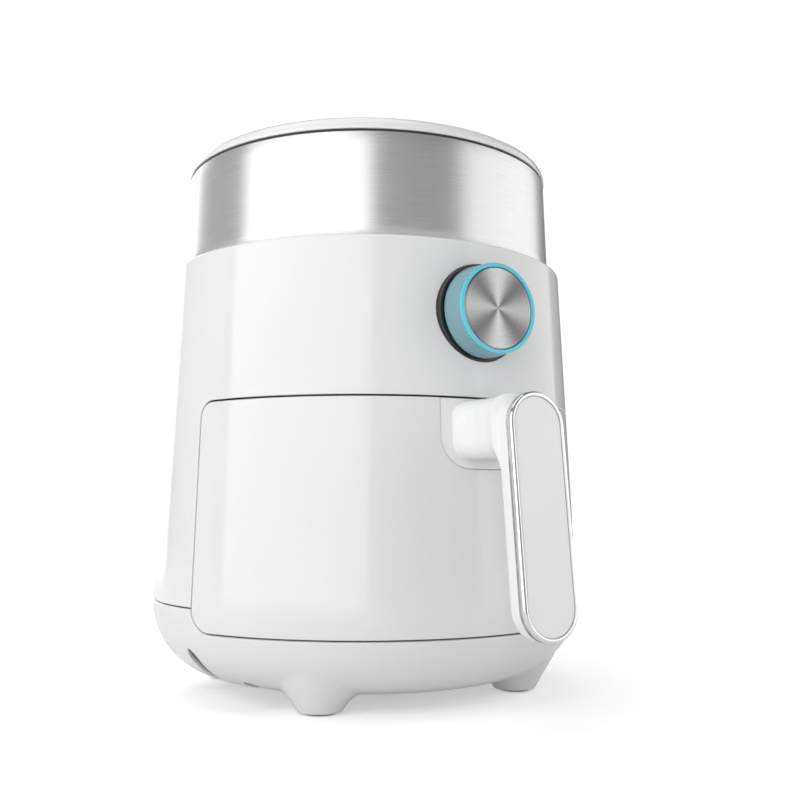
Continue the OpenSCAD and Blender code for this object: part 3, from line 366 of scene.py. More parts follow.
def join_parts(*parts):
    verts, faces, n = [], [], 0
    for v, f in parts:
        verts.append(v)
        faces += [[i + n for i in g] for g in f]
        n += len(v)
    return np.vstack(verts), faces


def ring_chain(z, reverse=False):
    a = -math.pi + 2 * math.pi * np.arange(NTH + 1) / NTH
    p = np.stack([a * R0, np.full(NTH + 1, float(z))], 1)
    return p[::-1].copy() if reverse else p


def grid(x0, x1, dx, y0, y1, dy):
    nx, ny = max(2, int((x1 - x0) / dx)), max(2, int((y1 - y0) / dy))
    gx, gy = np.meshgrid(np.linspace(x0, x1, nx + 1), np.linspace(y0, y1, ny + 1))
    return np.stack([gx.ravel(), gy.ravel()], 1)


def seam_points(z0, z1, step):
    z = np.arange(z0, z1, step)
    return np.vstack([np.stack([np.full(len(z), sx * math.pi * R0), z], 1) for sx in (-1, 1)])


WRAP = math.pi * R0

# housing wall, with the drawer opening cut out of it
g = GAP / 2
zb = SEAM_Z + SEAM_GAP
top_join = SHOULDER_Z - 1.7
right = cut_top(g, zb)
over = line((-right[-1, 0], DRAWER_Z1 + g), (right[-1, 0], DRAWER_Z1 + g), 2.5)[1:]
left = mirror_chain(right)
s1 = math.radians(120) * R0
s0 = s1 - 2 * WRAP
low = np.vstack([
    line((s0, zb), (-right[0, 0], zb), 2.6), right * [-1, 1], over,
    left * [-1, 1], line((right[0, 0], zb), (s1, zb), 2.6)[1:], [(s1, zb)],
])
join = ring_chain(top_join, True) + [s1 - WRAP, 0]
gw, gz0, gz1 = grille_hi[0] + 0.12, grille_lo[2] - 0.12, grille_hi[2] + 0.12
window = np.vstack([line((-gw, gz0), (-gw, gz1), 2.0), line((-gw, gz1), (gw, gz1), 2.0),
                    line((gw, gz1), (gw, gz0), 2.0), line((gw, gz0), (-gw, gz0), 2.0)])
holes = [back_points(window),
         back_points(arc((0, (inlet_lo[2] + inlet_hi[2]) / 2), INLET_HOLE_R, 360, 0, 12)),
         front_points(arc((0, (bezel_lo[2] + bezel_hi[2]) / 2), BEZEL_R, 360, 0, 4))]
shell = Sheet(0.45, SHELL_T)
shell.loops = [np.vstack([low, join])] + holes
shell.rim(low, closed=False)
for p in holes:
    shell.rim(p, edge=0.3, steps=3)
shell.plain(join)
ends = seam_points(zb + 4, top_join - 3, 6) + [s1 - WRAP, 0]
shell.pts += [tuple(q) for q in ends]
shell.depth += [0.0] * len(ends)
shell.seeds(grid(s0 + 1.4, s1 - 1.4, 2.75, zb, top_join, 5.5), 1.3)
shell_part = shell.build(lift_side)
r_join = float(housing_r(top_join))
edge_z = SHOULDER_Z - SHOULDER_EDGE
edge_c = housing_r(edge_z) - SHOULDER_EDGE
ring_prof = [(r_join, top_join)] + corner((edge_c, edge_z), SHOULDER_EDGE, 0, 90, 8)
ring_prof += [(edge_c - 0.8, SHOULDER_Z), (96.6, SHOULDER_Z), (HEAD_HOLE_R, SHOULDER_Z)]
ring_prof += [(HEAD_HOLE_R, SHOULDER_Z - SHELL_T),
              (r_join - CONE_NR * SHELL_T, top_join - CONE_NZ * SHELL_T)]
housing = make_mesh("housing_wall", *join_parts(shell_part, revolve(ring_prof, closed=False)))

# base: the bowl's side below the seam, then the underside with feet and vents
zt = SEAM_Z - SEAM_GAP
z_join = 29.7
lowcut = cut_low(g, zt)
under = line((lowcut[0, 0], DRAWER_Z0 - g), (-lowcut[0, 0], DRAWER_Z0 - g), 2.2)[1:]
rim_top = np.vstack([
    line((WRAP, zt), (lowcut[-1, 0], zt), 2.6), lowcut[::-1], under,
    lowcut * [-1, 1], line((-lowcut[-1, 0], zt), (-WRAP, zt), 2.6)[1:], [(-WRAP, zt)],
])
wall = Sheet(0.45, BASE_T)
wall.loops = [np.vstack([rim_top, ring_chain(z_join)])]
wall.rim(rim_top, closed=False)
wall.plain(ring_chain(z_join))
ends = seam_points(z_join + 1.8, zt - 1.4, 1.8)
wall.pts += [tuple(q) for q in ends]
wall.depth += [0.0] * len(ends)
wall.seeds(grid(1.4 - WRAP, WRAP - 1.4, 2.75, z_join, zt, 1.8), 0.9)
wall_part = wall.build(lift_side)


def bowl_z(r):
    d = np.clip(r - BOWL_C, 0, BOWL_R - 1e-6)
    return SEAM_Z - np.sqrt(BOWL_R**2 - d**2)


foot_xy = np.array([(FOOT_C * math.sin(math.radians(a)),
                     -FOOT_C * math.cos(math.radians(a))) for a in FOOT_AZ])


def foot_height(rho):
    d = rho - (FOOT_R - 0.25)
    return 0.6 + 1.85 * 0.5 * (d + np.sqrt(d * d + 0.5**2))


def under_z(p):
    """Height of the underside at (x, y) from the body's axis: bowl, feet and the soft blend between."""
    r = np.hypot(p[:, 0], p[:, 1])
    zb_ = bowl_z(r)
    rho = np.hypot(p[:, None, 0] - foot_xy[None, :, 0], p[:, None, 1] - foot_xy[None, :, 1]).min(1)
    zf = foot_height(rho)
    fade = np.clip((rho - 15) / 9, 0, 1)
    k = 8.0 * (1 - fade * fade * (3 - 2 * fade)) + 0.4
    h = np.clip(k - np.abs(zb_ - zf), 0, None) / k
    return np.minimum(zb_, zf) - h * h * k * 0.25


def lift_under(p, h, plain=False):
    r = np.hypot(p[:, 0], p[:, 1])
    z = bowl_z(r) if plain else under_z(p)
    d = np.clip(r - BOWL_C, 0, None)
    nr, nz = d / BOWL_R, -np.sqrt(1 - np.clip(d / BOWL_R, 0, 1)**2)
    u = p / np.maximum(r, 1e-9)[:, None]
    return np.stack([p[:, 0] - u[:, 0] * nr * h, p[:, 1] - u[:, 1] * nr * h + AXIS_Y, z - nz * h], 1)


def pill(az, r_out, length, w):
    """A radial slot's outline, clockwise, so the region around it is on the left."""
    c0, c1 = r_out - w / 2, r_out - length + w / 2
    p = np.vstack([arc((0, -c0), w / 2, 180, 360, 9), [(w / 2, -c0)],
                   line((w / 2, -c0), (w / 2, -c1), 1.5)[1:], arc((0, -c1), w / 2, 0, 180, 9),
                   [(-w / 2, -c1)], line((-w / 2, -c1), (-w / 2, -c0), 1.5)[1:]])[::-1]
    a = math.radians(az)
    return np.stack([p[:, 0] * math.cos(a) - p[:, 1] * math.sin(a),
                     p[:, 0] * math.sin(a) + p[:, 1] * math.cos(a)], 1)


r_edge = float(BOWL_C + math.sqrt(BOWL_R**2 - (SEAM_Z - z_join)**2))
az = -math.pi + 2 * math.pi * np.arange(NTH) / NTH
outer = np.stack([r_edge * np.sin(az), -r_edge * np.cos(az)], 1)
bottom = Sheet(0.5, BASE_T)
holes = []
for side in (1, -1):
    for a, share in ((66.5, 0.82), (81, 0.952), (99, 0.952), (113.5, 0.82)):
        holes.append(pill(side * a, SEAM_R * share, 21, 8))
for i in range(12):
    holes.append(pill((i + 0.5) * 30, 46, 24, 4))
for a in (0, 90, 180, 270):
    t = math.radians(a)
    holes.append(arc((60 * math.sin(t), -60 * math.cos(t)), 4.3, 360, 0, 12))
bottom.loops = [outer] + holes
bottom.chain(outer, 0.0, True)
for p in holes:
    bottom.rim(p, edge=0.45, steps=3)
foot_rings = [3.5, 6.5, 8.5, 9.3, 9.7, 10.0, 10.25, 10.5, 10.8, 11.3, 11.9, 12.6, 13.3, 14.1, 15.0, 16.0,
              17.0, 18.0, 19.0, 20.1, 21.3, 22.6]
ring_pts = []
for c in foot_xy:
    ring_pts.append(c[None, :])
    for k, rho in enumerate(foot_rings):
        n = 24 if rho < 8 else 72
        t = 2 * math.pi * (np.arange(n) + 0.5 * (k % 2)) / n
        ring_pts.append(np.stack([c[0] + rho * np.cos(t), c[1] + rho * np.sin(t)], 1))
bottom.seeds(np.vstack(ring_pts), 0.5)
polar = [np.zeros((1, 2))]
arc_steps = [BOWL_C + BOWL_R * math.sin(t) for t in np.radians(np.arange(3, 64, 3.2))]
for r in list(np.arange(6, BOWL_C - 1, 5.0)) + [BOWL_C] + [q for q in arc_steps if q < r_edge - 1.2]:
    n = max(8, int(2 * math.pi * r / 3.2)) if r > 50 else max(8, int(2 * math.pi * r / 5))
    t = 2 * math.pi * np.arange(n) / n
    polar.append(np.stack([r * np.sin(t), -r * np.cos(t)], 1))
polar = np.vstack(polar)
near = np.hypot(polar[:, None, 0] - foot_xy[None, :, 0], polar[:, None, 1] - foot_xy[None, :, 1]).min(1)
bottom.seeds(polar[near > 23.6], 1.0)
bottom_part = bottom.build(lift_under, lambda p, h: lift_under(p, h, True))
base = make_mesh("base_bowl", *join_parts(wall_part, bottom_part))

# drawer front
dg = -GAP / 2
d_right = np.vstack([cut_low(dg, DRAWER_Z0 - dg + LOW_R + dg + 0.01)[:-1], cut_top(dg, DRAWER_Z0 + LOW_R)])
zt_d = DRAWER_Z1 + dg
ug = 0.1
uc = (U_HALF - U_R, DRAWER_Z1 - U_H + U_R)
notch = np.vstack([line((U_HALF + ug, zt_d), (U_HALF + ug, uc[1]), 1.6)[1:],
                   arc(uc, U_R + ug, 0, -90),
                   line((uc[0], uc[1] - U_R - ug), (-uc[0], uc[1] - U_R - ug), 1.5),
                   arc((-uc[0], uc[1]), U_R + ug, 270, 180),
                   line((-U_HALF - ug, uc[1]), (-U_HALF - ug, zt_d), 1.6)])
notch = front_points(notch)
s_notch = front_points([(U_HALF + ug, zt_d)])[0, 0]
s_low = d_right[0, 0]
s_top = d_right[-1, 0]
z_low = DRAWER_Z0 - dg
front_loop = np.vstack([
    line((-s_low, z_low), (s_low, z_low), 2.2), d_right, line((s_top, zt_d), (s_notch, zt_d), 2.2)[1:],
    [(s_notch, zt_d)], notch, [(-s_notch, zt_d)], line((-s_notch, zt_d), (-s_top, zt_d), 2.2)[1:],
    mirror_chain(d_right)[:-1],
])
panel = Sheet(0.55, PANEL_T)
panel.loops = [front_loop]
panel.rim(front_loop)
span = d_right[:, 0].max()
panel.seeds(grid(-span, span, 2.6, SEAM_Z, zt_d, 4.2), 1.3)
panel.seeds(grid(-span, span, 2.6, z_low, SEAM_Z - 1.6, 1.6), 1.0)
drawer = make_mesh("drawer_panel", *panel.build(lift_side))

# bracket that holds the handle, set a little back in the drawer's top edge
bw = U_HALF - 0.02
br = U_R - 0.02
b_pts = np.vstack([arc((uc[0], uc[1]), br, -90, 0), line((bw, uc[1]), (bw, zt_d), 1.6),
                   line((bw, zt_d), (-bw, zt_d), 1.8),
                   line((-bw, zt_d), (-bw, uc[1]), 1.6), arc((-uc[0], uc[1]), br, 180, 270),
                   line((-uc[0], uc[1] - br), (uc[0], uc[1] - br), 1.6)])
bracket = Sheet(0.5, BRACKET_T)
b_loop = front_points(b_pts)
bracket.loops = [b_loop]
bracket.rim(b_loop)
bracket.seeds(grid(-23, 23, 2.0, 106, zt_d, 2.0), 0.9)
bracket_obj = make_mesh("handle_bracket_plate", *bracket.build(lambda p, h: lift_side(p, h + BRACKET_STEP)))

# band and lid
b_t = 0.8
band_prof = [(BAND_R0 - b_t, SHOULDER_Z + 0.05), (BAND_R0 - 0.2, SHOULDER_Z + 0.05),
             (BAND_R0, SHOULDER_Z + 0.22)]
for k in range(1, 8):
    t = k / 8
    band_prof.append((BAND_R0 + (BAND_R1 - BAND_R0) * t, SHOULDER_Z + (BAND_Z1 - SHOULDER_Z) * t))
band_prof += [(BAND_R1, BAND_Z1 - 0.25), (BAND_R1 - 0.07, BAND_Z1 - 0.07), (BAND_R1 - 0.25, BAND_Z1),
              (BAND_R1 - b_t, BAND_Z1)]
band = make_mesh("brushed_steel_band", *revolve(band_prof, n=360))

lid_r = (lid_hi[0] - lid_lo[0]) / 2
lid_z = BAND_Z1 + 1.2
er = 6.6
lid_prof = [(0, LID_TOP)] + [(r, LID_TOP) for r in (12, 30, 50, 68, 80, lid_r - er - 1.5)]
lid_prof += corner((lid_r - er, LID_TOP - er), er, 90, 0, 14)
lid_prof += corner((lid_r - 0.3, lid_z + 0.3), 0.3, 0, -90, 4) + [(lid_r - 1.5, lid_z), (91, lid_z),
    (91, lid_z + 1.2)]
lid_prof += [(88.5, LID_TOP - 2.4), (60, LID_TOP - 2.4), (0, LID_TOP - 2.4)]
lid = make_mesh("lid_cap", *revolve(lid_prof, n=NTH))

# knob
face_y = cap_lo[1] - 0.4
side_y = face_y + 1.5
back_y = knob_hi[1]
kr, kr_base, cap_r = 20.2, 21.0, 18.4
knob_prof = [(3.2, back_y), (12, back_y), (kr_base - 1.0, back_y)] + corner((kr_base - 0.7, back_y - 0.7),
    0.7, 90, 12, 5)
for k in range(1, 9):
    t = k / 9
    knob_prof.append((kr_base + (kr - kr_base) * t ** 0.8, back_y - 0.9 + (side_y - back_y + 0.9) * t))
knob_prof += [(kr, side_y + 0.1), (kr - 0.12, side_y), (kr - 1.0, side_y), (cap_r + 0.1, side_y),
              (17.6, side_y + 0.1),
              (17.4, side_y + 1.2), (3.2, side_y + 1.2)]
knob = make_mesh("knob_grip", *revolve_knob(knob_prof))
ring_o = [(kr - 0.45, face_y), (kr - 0.17, face_y + 0.08), (kr - 0.03, face_y + 0.27), (kr, face_y + 0.5),
          (kr, side_y - 0.06),
          (kr - 0.1, side_y - 0.01), (cap_r + 0.1, side_y - 0.01), (cap_r, side_y - 0.1),
          (cap_r, face_y + 0.3),
          (cap_r + 0.06, face_y + 0.1), (cap_r + 0.22, face_y)]
knob_ring = make_mesh("knob_bright_ring", *revolve_knob(ring_o[::-1]))
ce = cap_r - 0.2
cap_y = face_y + 0.4
cap_prof = [(0.0, cap_y + 0.28), (2.5, cap_y + 0.272), (6, cap_y + 0.24), (10, cap_y + 0.17),
            (14, cap_y + 0.08),
            (ce - 1.2, cap_y + 0.01), (ce - 0.6, cap_y), (ce - 0.25, cap_y + 0.06),
            (ce - 0.06, cap_y + 0.2), (ce, cap_y + 0.4),
            (ce, side_y - 0.2), (ce - 0.2, side_y), (0.0, side_y)]
knob_cap = make_mesh("knob_spun_cap", *revolve_knob(cap_prof, n=192))

# handle: plate and trim in the leaning frame
TILT = math.radians(5.46)
H_L, H_W, TRIM_W, TRIM_T = 50.95, 14.1, 2.0, 3.4
H_Y = AXIS_Y - 145.75
H_Z = (DRAWER_Z0 + DRAWER_Z1) / 2 + 0.9


def lean(u, v, w):
    return np.stack([u, H_Y + w * math.cos(TILT) + v * math.sin(TILT),
                     H_Z - w * math.sin(TILT) + v * math.cos(TILT)], 1)


def stadium(inset, step=4.0):
    w, l = H_W - inset, H_L - inset
    c = l - w
    return np.vstack([line((w, -c), (w, c), 2.5), arc((0, c), w, 0, 180, step),
                      line((-w, c), (-w, -c), 2.5),
                      arc((0, -c), w, 180, 360, step)])


plate = Sheet(0.45, 1.6)
p_loop = stadium(TRIM_W + 0.08)
plate.loops = [p_loop]
plate.rim(p_loop)
plate.seeds(grid(-13, 13, 2.0, -50, 50, 2.5), 0.9)
plate_obj = make_mesh("handle_face_plate", *plate.build(lambda p, h: lean(p[:, 0], p[:, 1], h + 0.35)))

trim = Sheet(0.9, TRIM_T)
t_out, t_in = stadium(0), stadium(TRIM_W)[::-1]
trim.loops = [t_out, t_in]
trim.rim(t_out, edge=1.1, steps=5)
trim.rim(t_in, edge=0.3, steps=3)
trim_obj = make_mesh("handle_bright_trim", *trim.build(lambda p, h: lean(p[:, 0], p[:, 1], h)))

# handle grip and neck: one smooth skin around a rounded slab and a neck
GRIP_T = 7.4
NECK_Z0, NECK_Z1 = 111.0, 137.0
ROOT_Y = AXIS_Y - housing_r(124) + 1.2


def smooth_min(a, b, k):
    h = np.clip(k - np.abs(a - b), 0, None) / k
    return np.minimum(a, b) - h * h * k * 0.25


def handle_field(p):
    x, y, z = p[:, 0], p[:, 1], p[:, 2]
    dy, dz = y - H_Y, z - H_Z
    w = dy * math.cos(TILT) - dz * math.sin(TILT)
    v = dy * math.sin(TILT) + dz * math.cos(TILT)
    half_w, half_l = H_W - 0.35, H_L - 0.35
    d2 = np.hypot(x, np.clip(np.abs(v) - (half_l - half_w), 0, None)) - half_w
    wc, hw = TRIM_T + 0.15 + (GRIP_T - 0.15) / 2, (GRIP_T - 0.15) / 2
    r = 2.6
    front_r = np.where(w < wc, 1.0, r)
    a, b = d2 + front_r, np.abs(w - wc) - hw + front_r
    slab = np.hypot(np.clip(a, 0, None), np.clip(b, 0, None)) + np.minimum(np.maximum(a, b), 0) - front_r
    reach = np.clip((ROOT_Y - y) / 13.0, 0, 1)
    nw = 13.7 + 2.4 * (1 - reach * reach * (3 - 2 * reach))
    nh, nr = (NECK_Z1 - NECK_Z0) / 2, 7.5
    qx, qz = np.abs(x) - nw + nr, np.abs(z - (NECK_Z0 + NECK_Z1) / 2) - nh + nr
    neck = np.hypot(np.clip(qx, 0, None), np.clip(qz, 0, None)) + np.minimum(np.maximum(qx, qz), 0) - nr
    neck = np.maximum(neck, (TRIM_T + 2.5) - w)
    f = smooth_min(slab, neck, 9.0)
    f = np.maximum(f, np.hypot(x, np.clip(np.abs(v) - (half_l - half_w), 0, None)) - half_w
                   - np.clip(w - 9.0, 0, None))
    f = np.maximum(f, TRIM_T + 0.12 - w)
    return np.maximum(f, y - (ROOT_Y + 1.5))


def surface_net(field, lo, hi, step):
    """A quad skin of field = 0, one vertex a cell, pulled on to the surface."""
    n = np.ceil((hi - lo) / step).astype(int) + 1
    ax = [lo[i] + step * np.arange(n[i]) for i in range(3)]
    g3 = np.stack(np.meshgrid(*ax, indexing="ij"), -1)
    f = field(g3.reshape(-1, 3)).reshape(n)
    neg = f < 0
    total = np.zeros(tuple(n - 1) + (3,))
    count = np.zeros(tuple(n - 1))
    quads = []
    for axis in range(3):
        a = [slice(None)] * 3
        b = [slice(None)] * 3
        a[axis], b[axis] = slice(0, -1), slice(1, None)
        a, b = tuple(a), tuple(b)
        hit = neg[a] != neg[b]
        t = f[a] / np.where(hit, f[a] - f[b], 1)
        idx = np.argwhere(hit)
        pos = g3[a][hit]
        pos[:, axis] += step * t[hit]
        u, w = (axis + 1) % 3, (axis + 2) % 3
        cells = []
        for du, dw in ((0, 0), (1, 0), (1, 1), (0, 1)):
            c = idx.copy()
            c[:, u] -= du
            c[:, w] -= dw
            cells.append(c)
            np.add.at(total, tuple(c.T), pos)
            np.add.at(count, tuple(c.T), 1)
        quads.append(np.stack(cells, 1))
    used = count > 0
    number = -np.ones(used.shape, int)
    number[used] = np.arange(used.sum())
    verts = total[used] / count[used][:, None]
    quads = np.vstack(quads)
    faces = number[quads[..., 0], quads[..., 1], quads[..., 2]]
    return verts, faces


def settle(field, verts, faces, rounds=6):
    """Even out a skin and pull it back on to its field."""
    e = np.vstack([faces[:, [0, 1]], faces[:, [1, 2]], faces[:, [2, 3]], faces[:, [3, 0]]])
    e = np.unique(np.sort(e, 1), axis=0)
    for _ in range(rounds):
        total = np.zeros_like(verts)
        count = np.zeros(len(verts))
        for i, j in ((0, 1), (1, 0)):
            np.add.at(total, e[:, i], verts[e[:, j]])
            np.add.at(count, e[:, i], 1)
        verts = verts + 0.5 * (total / count[:, None] - verts)
        for _ in range(2):
            h = 0.02
            f0 = field(verts)
            grad = np.stack([(field(verts + np.eye(3)[k] * h) - field(verts - np.eye(3)[k] * h)) / (2 * h)
                             for k in range(3)], 1)
            g2 = np.maximum((grad * grad).sum(1), 0.2)
            verts = verts - grad * np.clip(f0 / g2, -0.5, 0.5)[:, None]
    return verts


step = 0.75
gv, gf = surface_net(handle_field, np.array([-18.5, H_Y - 4.0, 34.0]),
                     np.array([18.5, ROOT_Y + 4.0, 141.0]), step)
gv = settle(handle_field, gv, gf)
grip = make_mesh("handle_grip_skin", gv, gf.tolist())

# ---------- materials ----------


class Mat:
    """A procedural material around one Principled shader."""

    def __init__(self, name, color, rough, metal=0.0, **kw):
        self.mat = bpy.data.materials.new(name)
        self.mat.use_nodes = True
        self.nt = self.mat.node_tree
        self.nt.nodes.clear()
        self.out = self.node("ShaderNodeOutputMaterial")
        self.bsdf = self.node("ShaderNodeBsdfPrincipled")
        self.link(self.bsdf, "BSDF", self.out, "Surface")
        self.bsdf.inputs["Base Color"].default_value = (*color, 1)
        self.bsdf.inputs["Roughness"].default_value = rough
        self.bsdf.inputs["Metallic"].default_value = metal
        for k, v in kw.items():
            self.bsdf.inputs[k.replace("_", " ")].default_value = v
        self.mat.diffuse_color = (*color, 1)
        self.coord = self.node("ShaderNodeTexCoord")
        self.last_bump = None

    def node(self, kind, **props):
        n = self.nt.nodes.new(kind)
        for k, v in props.items():
            setattr(n, k, v)
        return n

    def link(self, a, out, b, inp):
        self.nt.links.new(a.outputs[out], b.inputs[inp])

    def noise(self, scale, detail=3.0, stretch=None, source=None, rough=0.5):
        n = self.node("ShaderNodeTexNoise")
        n.inputs["Scale"].default_value = scale
        n.inputs["Detail"].default_value = detail
        n.inputs["Roughness"].default_value = rough
        if source is not None:
            self.nt.links.new(source, n.inputs["Vector"])
        elif stretch is not None:
            m = self.node("ShaderNodeMapping")
            m.inputs["Scale"].default_value = stretch
            self.link(self.coord, "Object", m, "Vector")
            self.link(m, "Vector", n, "Vector")
        else:
            self.link(self.coord, "Object", n, "Vector")
        return n.outputs[0]

    def ramp(self, src, a, b, lo=0.35, hi=0.65):
        m = self.node("ShaderNodeMapRange")
        m.inputs["From Min"].default_value = lo
        m.inputs["From Max"].default_value = hi
        m.inputs["To Min"].default_value = a
        m.inputs["To Max"].default_value = b
        self.nt.links.new(src, m.inputs["Value"])
        return m.outputs[0]

    def color(self, src, a, b, lo=0.35, hi=0.65):
        r = self.node("ShaderNodeValToRGB")
        r.color_ramp.elements[0].position = lo
        r.color_ramp.elements[1].position = hi
        r.color_ramp.elements[0].color = (*a, 1)
        r.color_ramp.elements[1].color = (*b, 1)
        self.nt.links.new(src, r.inputs["Fac"])
        self.link(r, "Color", self.bsdf, "Base Color")
        return self

    def rough(self, src, a, b, lo=0.35, hi=0.65):
        self.nt.links.new(self.ramp(src, a, b, lo, hi), self.bsdf.inputs["Roughness"])
        return self

    def bump(self, src, strength, distance):
        n = self.node("ShaderNodeBump")
        n.inputs["Strength"].default_value = strength
        n.inputs["Distance"].default_value = distance
        self.nt.links.new(src, n.inputs["Height"])
        if self.last_bump is not None:
            self.nt.links.new(self.last_bump.outputs["Normal"], n.inputs["Normal"])
        self.link(n, "Normal", self.bsdf, "Normal")
        self.last_bump = n
        return self

    def polar(self, axis, centre, k_angle, k_other, k_radius=0.0):
        """A vector (angle, distance along the axis or radius) for streaks that run round an axis."""
        sep = self.node("ShaderNodeSeparateXYZ")
        self.link(self.coord, "Object", sep, "Vector")
        ins = {"Z": ("X", "Y", "Z"), "Y": ("X", "Z", "Y")}[axis]

        def math_node(op, a, b=None):
            n = self.node("ShaderNodeMath", operation=op)
            for i, q in enumerate((a, b)):
                if q is None:
                    continue
                if isinstance(q, (int, float)):
                    n.inputs[i].default_value = q
                else:
                    self.nt.links.new(q, n.inputs[i])
            return n.outputs[0]

        u = math_node("SUBTRACT", sep.outputs[ins[0]], float(centre[0]))
        v = math_node("SUBTRACT", sep.outputs[ins[1]], float(centre[1]))
        ang = math_node("ARCTAN2", u, v)
        rad = math_node("SQRT", math_node("ADD", math_node("MULTIPLY", u, u), math_node("MULTIPLY", v, v)))
        comb = self.node("ShaderNodeCombineXYZ")
        self.nt.links.new(math_node("MULTIPLY", ang, k_angle), comb.inputs[0])
        self.nt.links.new(math_node("MULTIPLY", sep.outputs[ins[2]], k_other), comb.inputs[1])
        self.nt.links.new(math_node("MULTIPLY", rad, k_radius), comb.inputs[2])
        return comb.outputs[0]


def plastic(name, a, b, r0, r1, grain=700.0, bump=0.02, **kw):
    m = Mat(name, a, (r0 + r1) / 2, **kw)
    m.color(m.noise(14.0, 2.0), a, b)
    m.rough(m.noise(38.0, 4.0), r0, r1)
    m.bump(m.noise(grain, 2.0), bump, 0.0004)
    return m


WHITE = plastic("gloss_white_shell", (0.735, 0.735, 0.738), (0.75, 0.75, 0.752), 0.10, 0.15, 420.0, 0.012)
WHITE_IN = plastic("satin_white_handle", (0.79, 0.79, 0.793), (0.81, 0.81, 0.812), 0.22, 0.28, 500.0, 0.02)
PLATE = plastic("satin_plate", (0.84, 0.84, 0.842), (0.855, 0.855, 0.857), 0.42, 0.5, 1500.0, 0.04)

BAND = Mat("brushed_band_steel", (0.72, 0.72, 0.725), 0.3, 1.0, Anisotropic=0.75, Anisotropic_Rotation=0.25)
streak = BAND.noise(1.0, 4.0, source=BAND.polar("Z", (0.0, AXIS_Y / 1000), 5.0, 3200.0), rough=0.6)
BAND.color(streak, (0.66, 0.66, 0.665), (0.80, 0.80, 0.805), 0.3, 0.7)
BAND.rough(streak, 0.33, 0.42, 0.3, 0.7)
BAND.bump(streak, 0.05, 0.0001)
tan = BAND.node("ShaderNodeTangent", direction_type="RADIAL", axis="Z")
BAND.link(tan, "Tangent", BAND.bsdf, "Tangent")

SPUN = Mat("spun_cap_steel", (0.7, 0.7, 0.7), 0.3, 1.0, Anisotropic=0.9, Anisotropic_Rotation=0.25)
knob_z = (cap_lo[2] + cap_hi[2]) / 2000
groove = SPUN.noise(1.0, 3.0, source=SPUN.polar("Y", (0.0, knob_z), 1.2, 0.0, 5200.0), rough=0.6)
# The cap's colour turns in four lobes round the knob's axis: lighter and darker sectors that stand in for
# the spun steel's conic reflections. This is a painted highlight, multiplied by the fine tone of the
# grooves.
turn = SPUN.node("ShaderNodeSeparateXYZ")
SPUN.nt.links.new(SPUN.polar("Y", (0.0, knob_z), 4.0, 0.0), turn.inputs[0])
painted_highlight_wave = SPUN.node("ShaderNodeMath", operation="COSINE")
SPUN.link(turn, "X", painted_highlight_wave, 0)
painted_highlight_and_grooves = SPUN.node("ShaderNodeMath", operation="MULTIPLY")
SPUN.nt.links.new(SPUN.ramp(painted_highlight_wave.outputs[0], 0.2, 0.55, -1.0, 1.0), painted_highlight_and_grooves.inputs[0])
SPUN.nt.links.new(SPUN.ramp(groove, 0.8, 1.1, 0.3, 0.7), painted_highlight_and_grooves.inputs[1])
SPUN.nt.links.new(painted_highlight_and_grooves.outputs[0], SPUN.bsdf.inputs["Base Color"])
SPUN.rough(groove, 0.22, 0.33, 0.3, 0.7)
SPUN.bump(groove, 0.06, 0.0001)
tan = SPUN.node("ShaderNodeTangent", direction_type="RADIAL", axis="Y")
SPUN.link(tan, "Tangent", SPUN.bsdf, "Tangent")

CHROME = Mat("bright_trim_metal", (0.8, 0.8, 0.81), 0.12, 1.0)
CHROME.color(CHROME.noise(60.0), (0.76, 0.76, 0.77), (0.84, 0.84, 0.85)).rough(CHROME.noise(200.0, 3.0),
    0.08, 0.16)
CHROME.bump(CHROME.noise(1500.0, 2.0), 0.01, 0.0001)

KNOB_BLUE = plastic("knob_blue_grey", (0.17, 0.33, 0.37), (0.19, 0.35, 0.39), 0.26, 0.34, 900.0, 0.02)
KNOB_CYAN = plastic("knob_cyan_ring", (0.10, 0.55, 0.68), (0.13, 0.60, 0.73), 0.16, 0.24, 900.0, 0.02)
BLACK = plastic("gloss_black_plastic", (0.012, 0.012, 0.014), (0.02, 0.02, 0.022), 0.22, 0.32, 900.0, 0.03)
DARK = plastic("dark_drawer_frame", (0.03, 0.03, 0.033), (0.045, 0.045, 0.048), 0.42, 0.55, 1300.0, 0.08)
RUBBER = plastic("black_rubber", (0.02, 0.02, 0.02), (0.035, 0.035, 0.036), 0.6, 0.78, 1800.0, 0.2)
PALE = plastic("pale_moulding", (0.62, 0.61, 0.58), (0.68, 0.67, 0.64), 0.4, 0.5, 1100.0, 0.05)
RED = plastic("red_moulding", (0.5, 0.03, 0.02), (0.58, 0.05, 0.03), 0.3, 0.4, 1100.0, 0.04)
SLEEVE = plastic("wire_sleeve", (0.4, 0.03, 0.02), (0.08, 0.05, 0.05), 0.4, 0.5, 1500.0, 0.05)

NONSTICK = Mat("non_stick_coat", (0.03, 0.03, 0.032), 0.4)
speck = NONSTICK.noise(1400.0, 1.0)
NONSTICK.color(speck, (0.022, 0.022, 0.024), (0.10, 0.10, 0.105), 0.62, 0.74)
NONSTICK.rough(NONSTICK.noise(90.0, 3.0), 0.3, 0.42).bump(NONSTICK.noise(900.0, 2.0), 0.08, 0.0003)


def metal(name, a, b, r0, r1, scale=300.0, stretch=(1.0, 1.0, 0.08), bump=0.05):
    m = Mat(name, a, (r0 + r1) / 2, 1.0)
    fine = m.noise(scale, 4.0, stretch=stretch)
    m.color(fine, a, b, 0.3, 0.7).rough(m.noise(50.0, 3.0), r0, r1).bump(fine, bump, 0.0002)
    return m


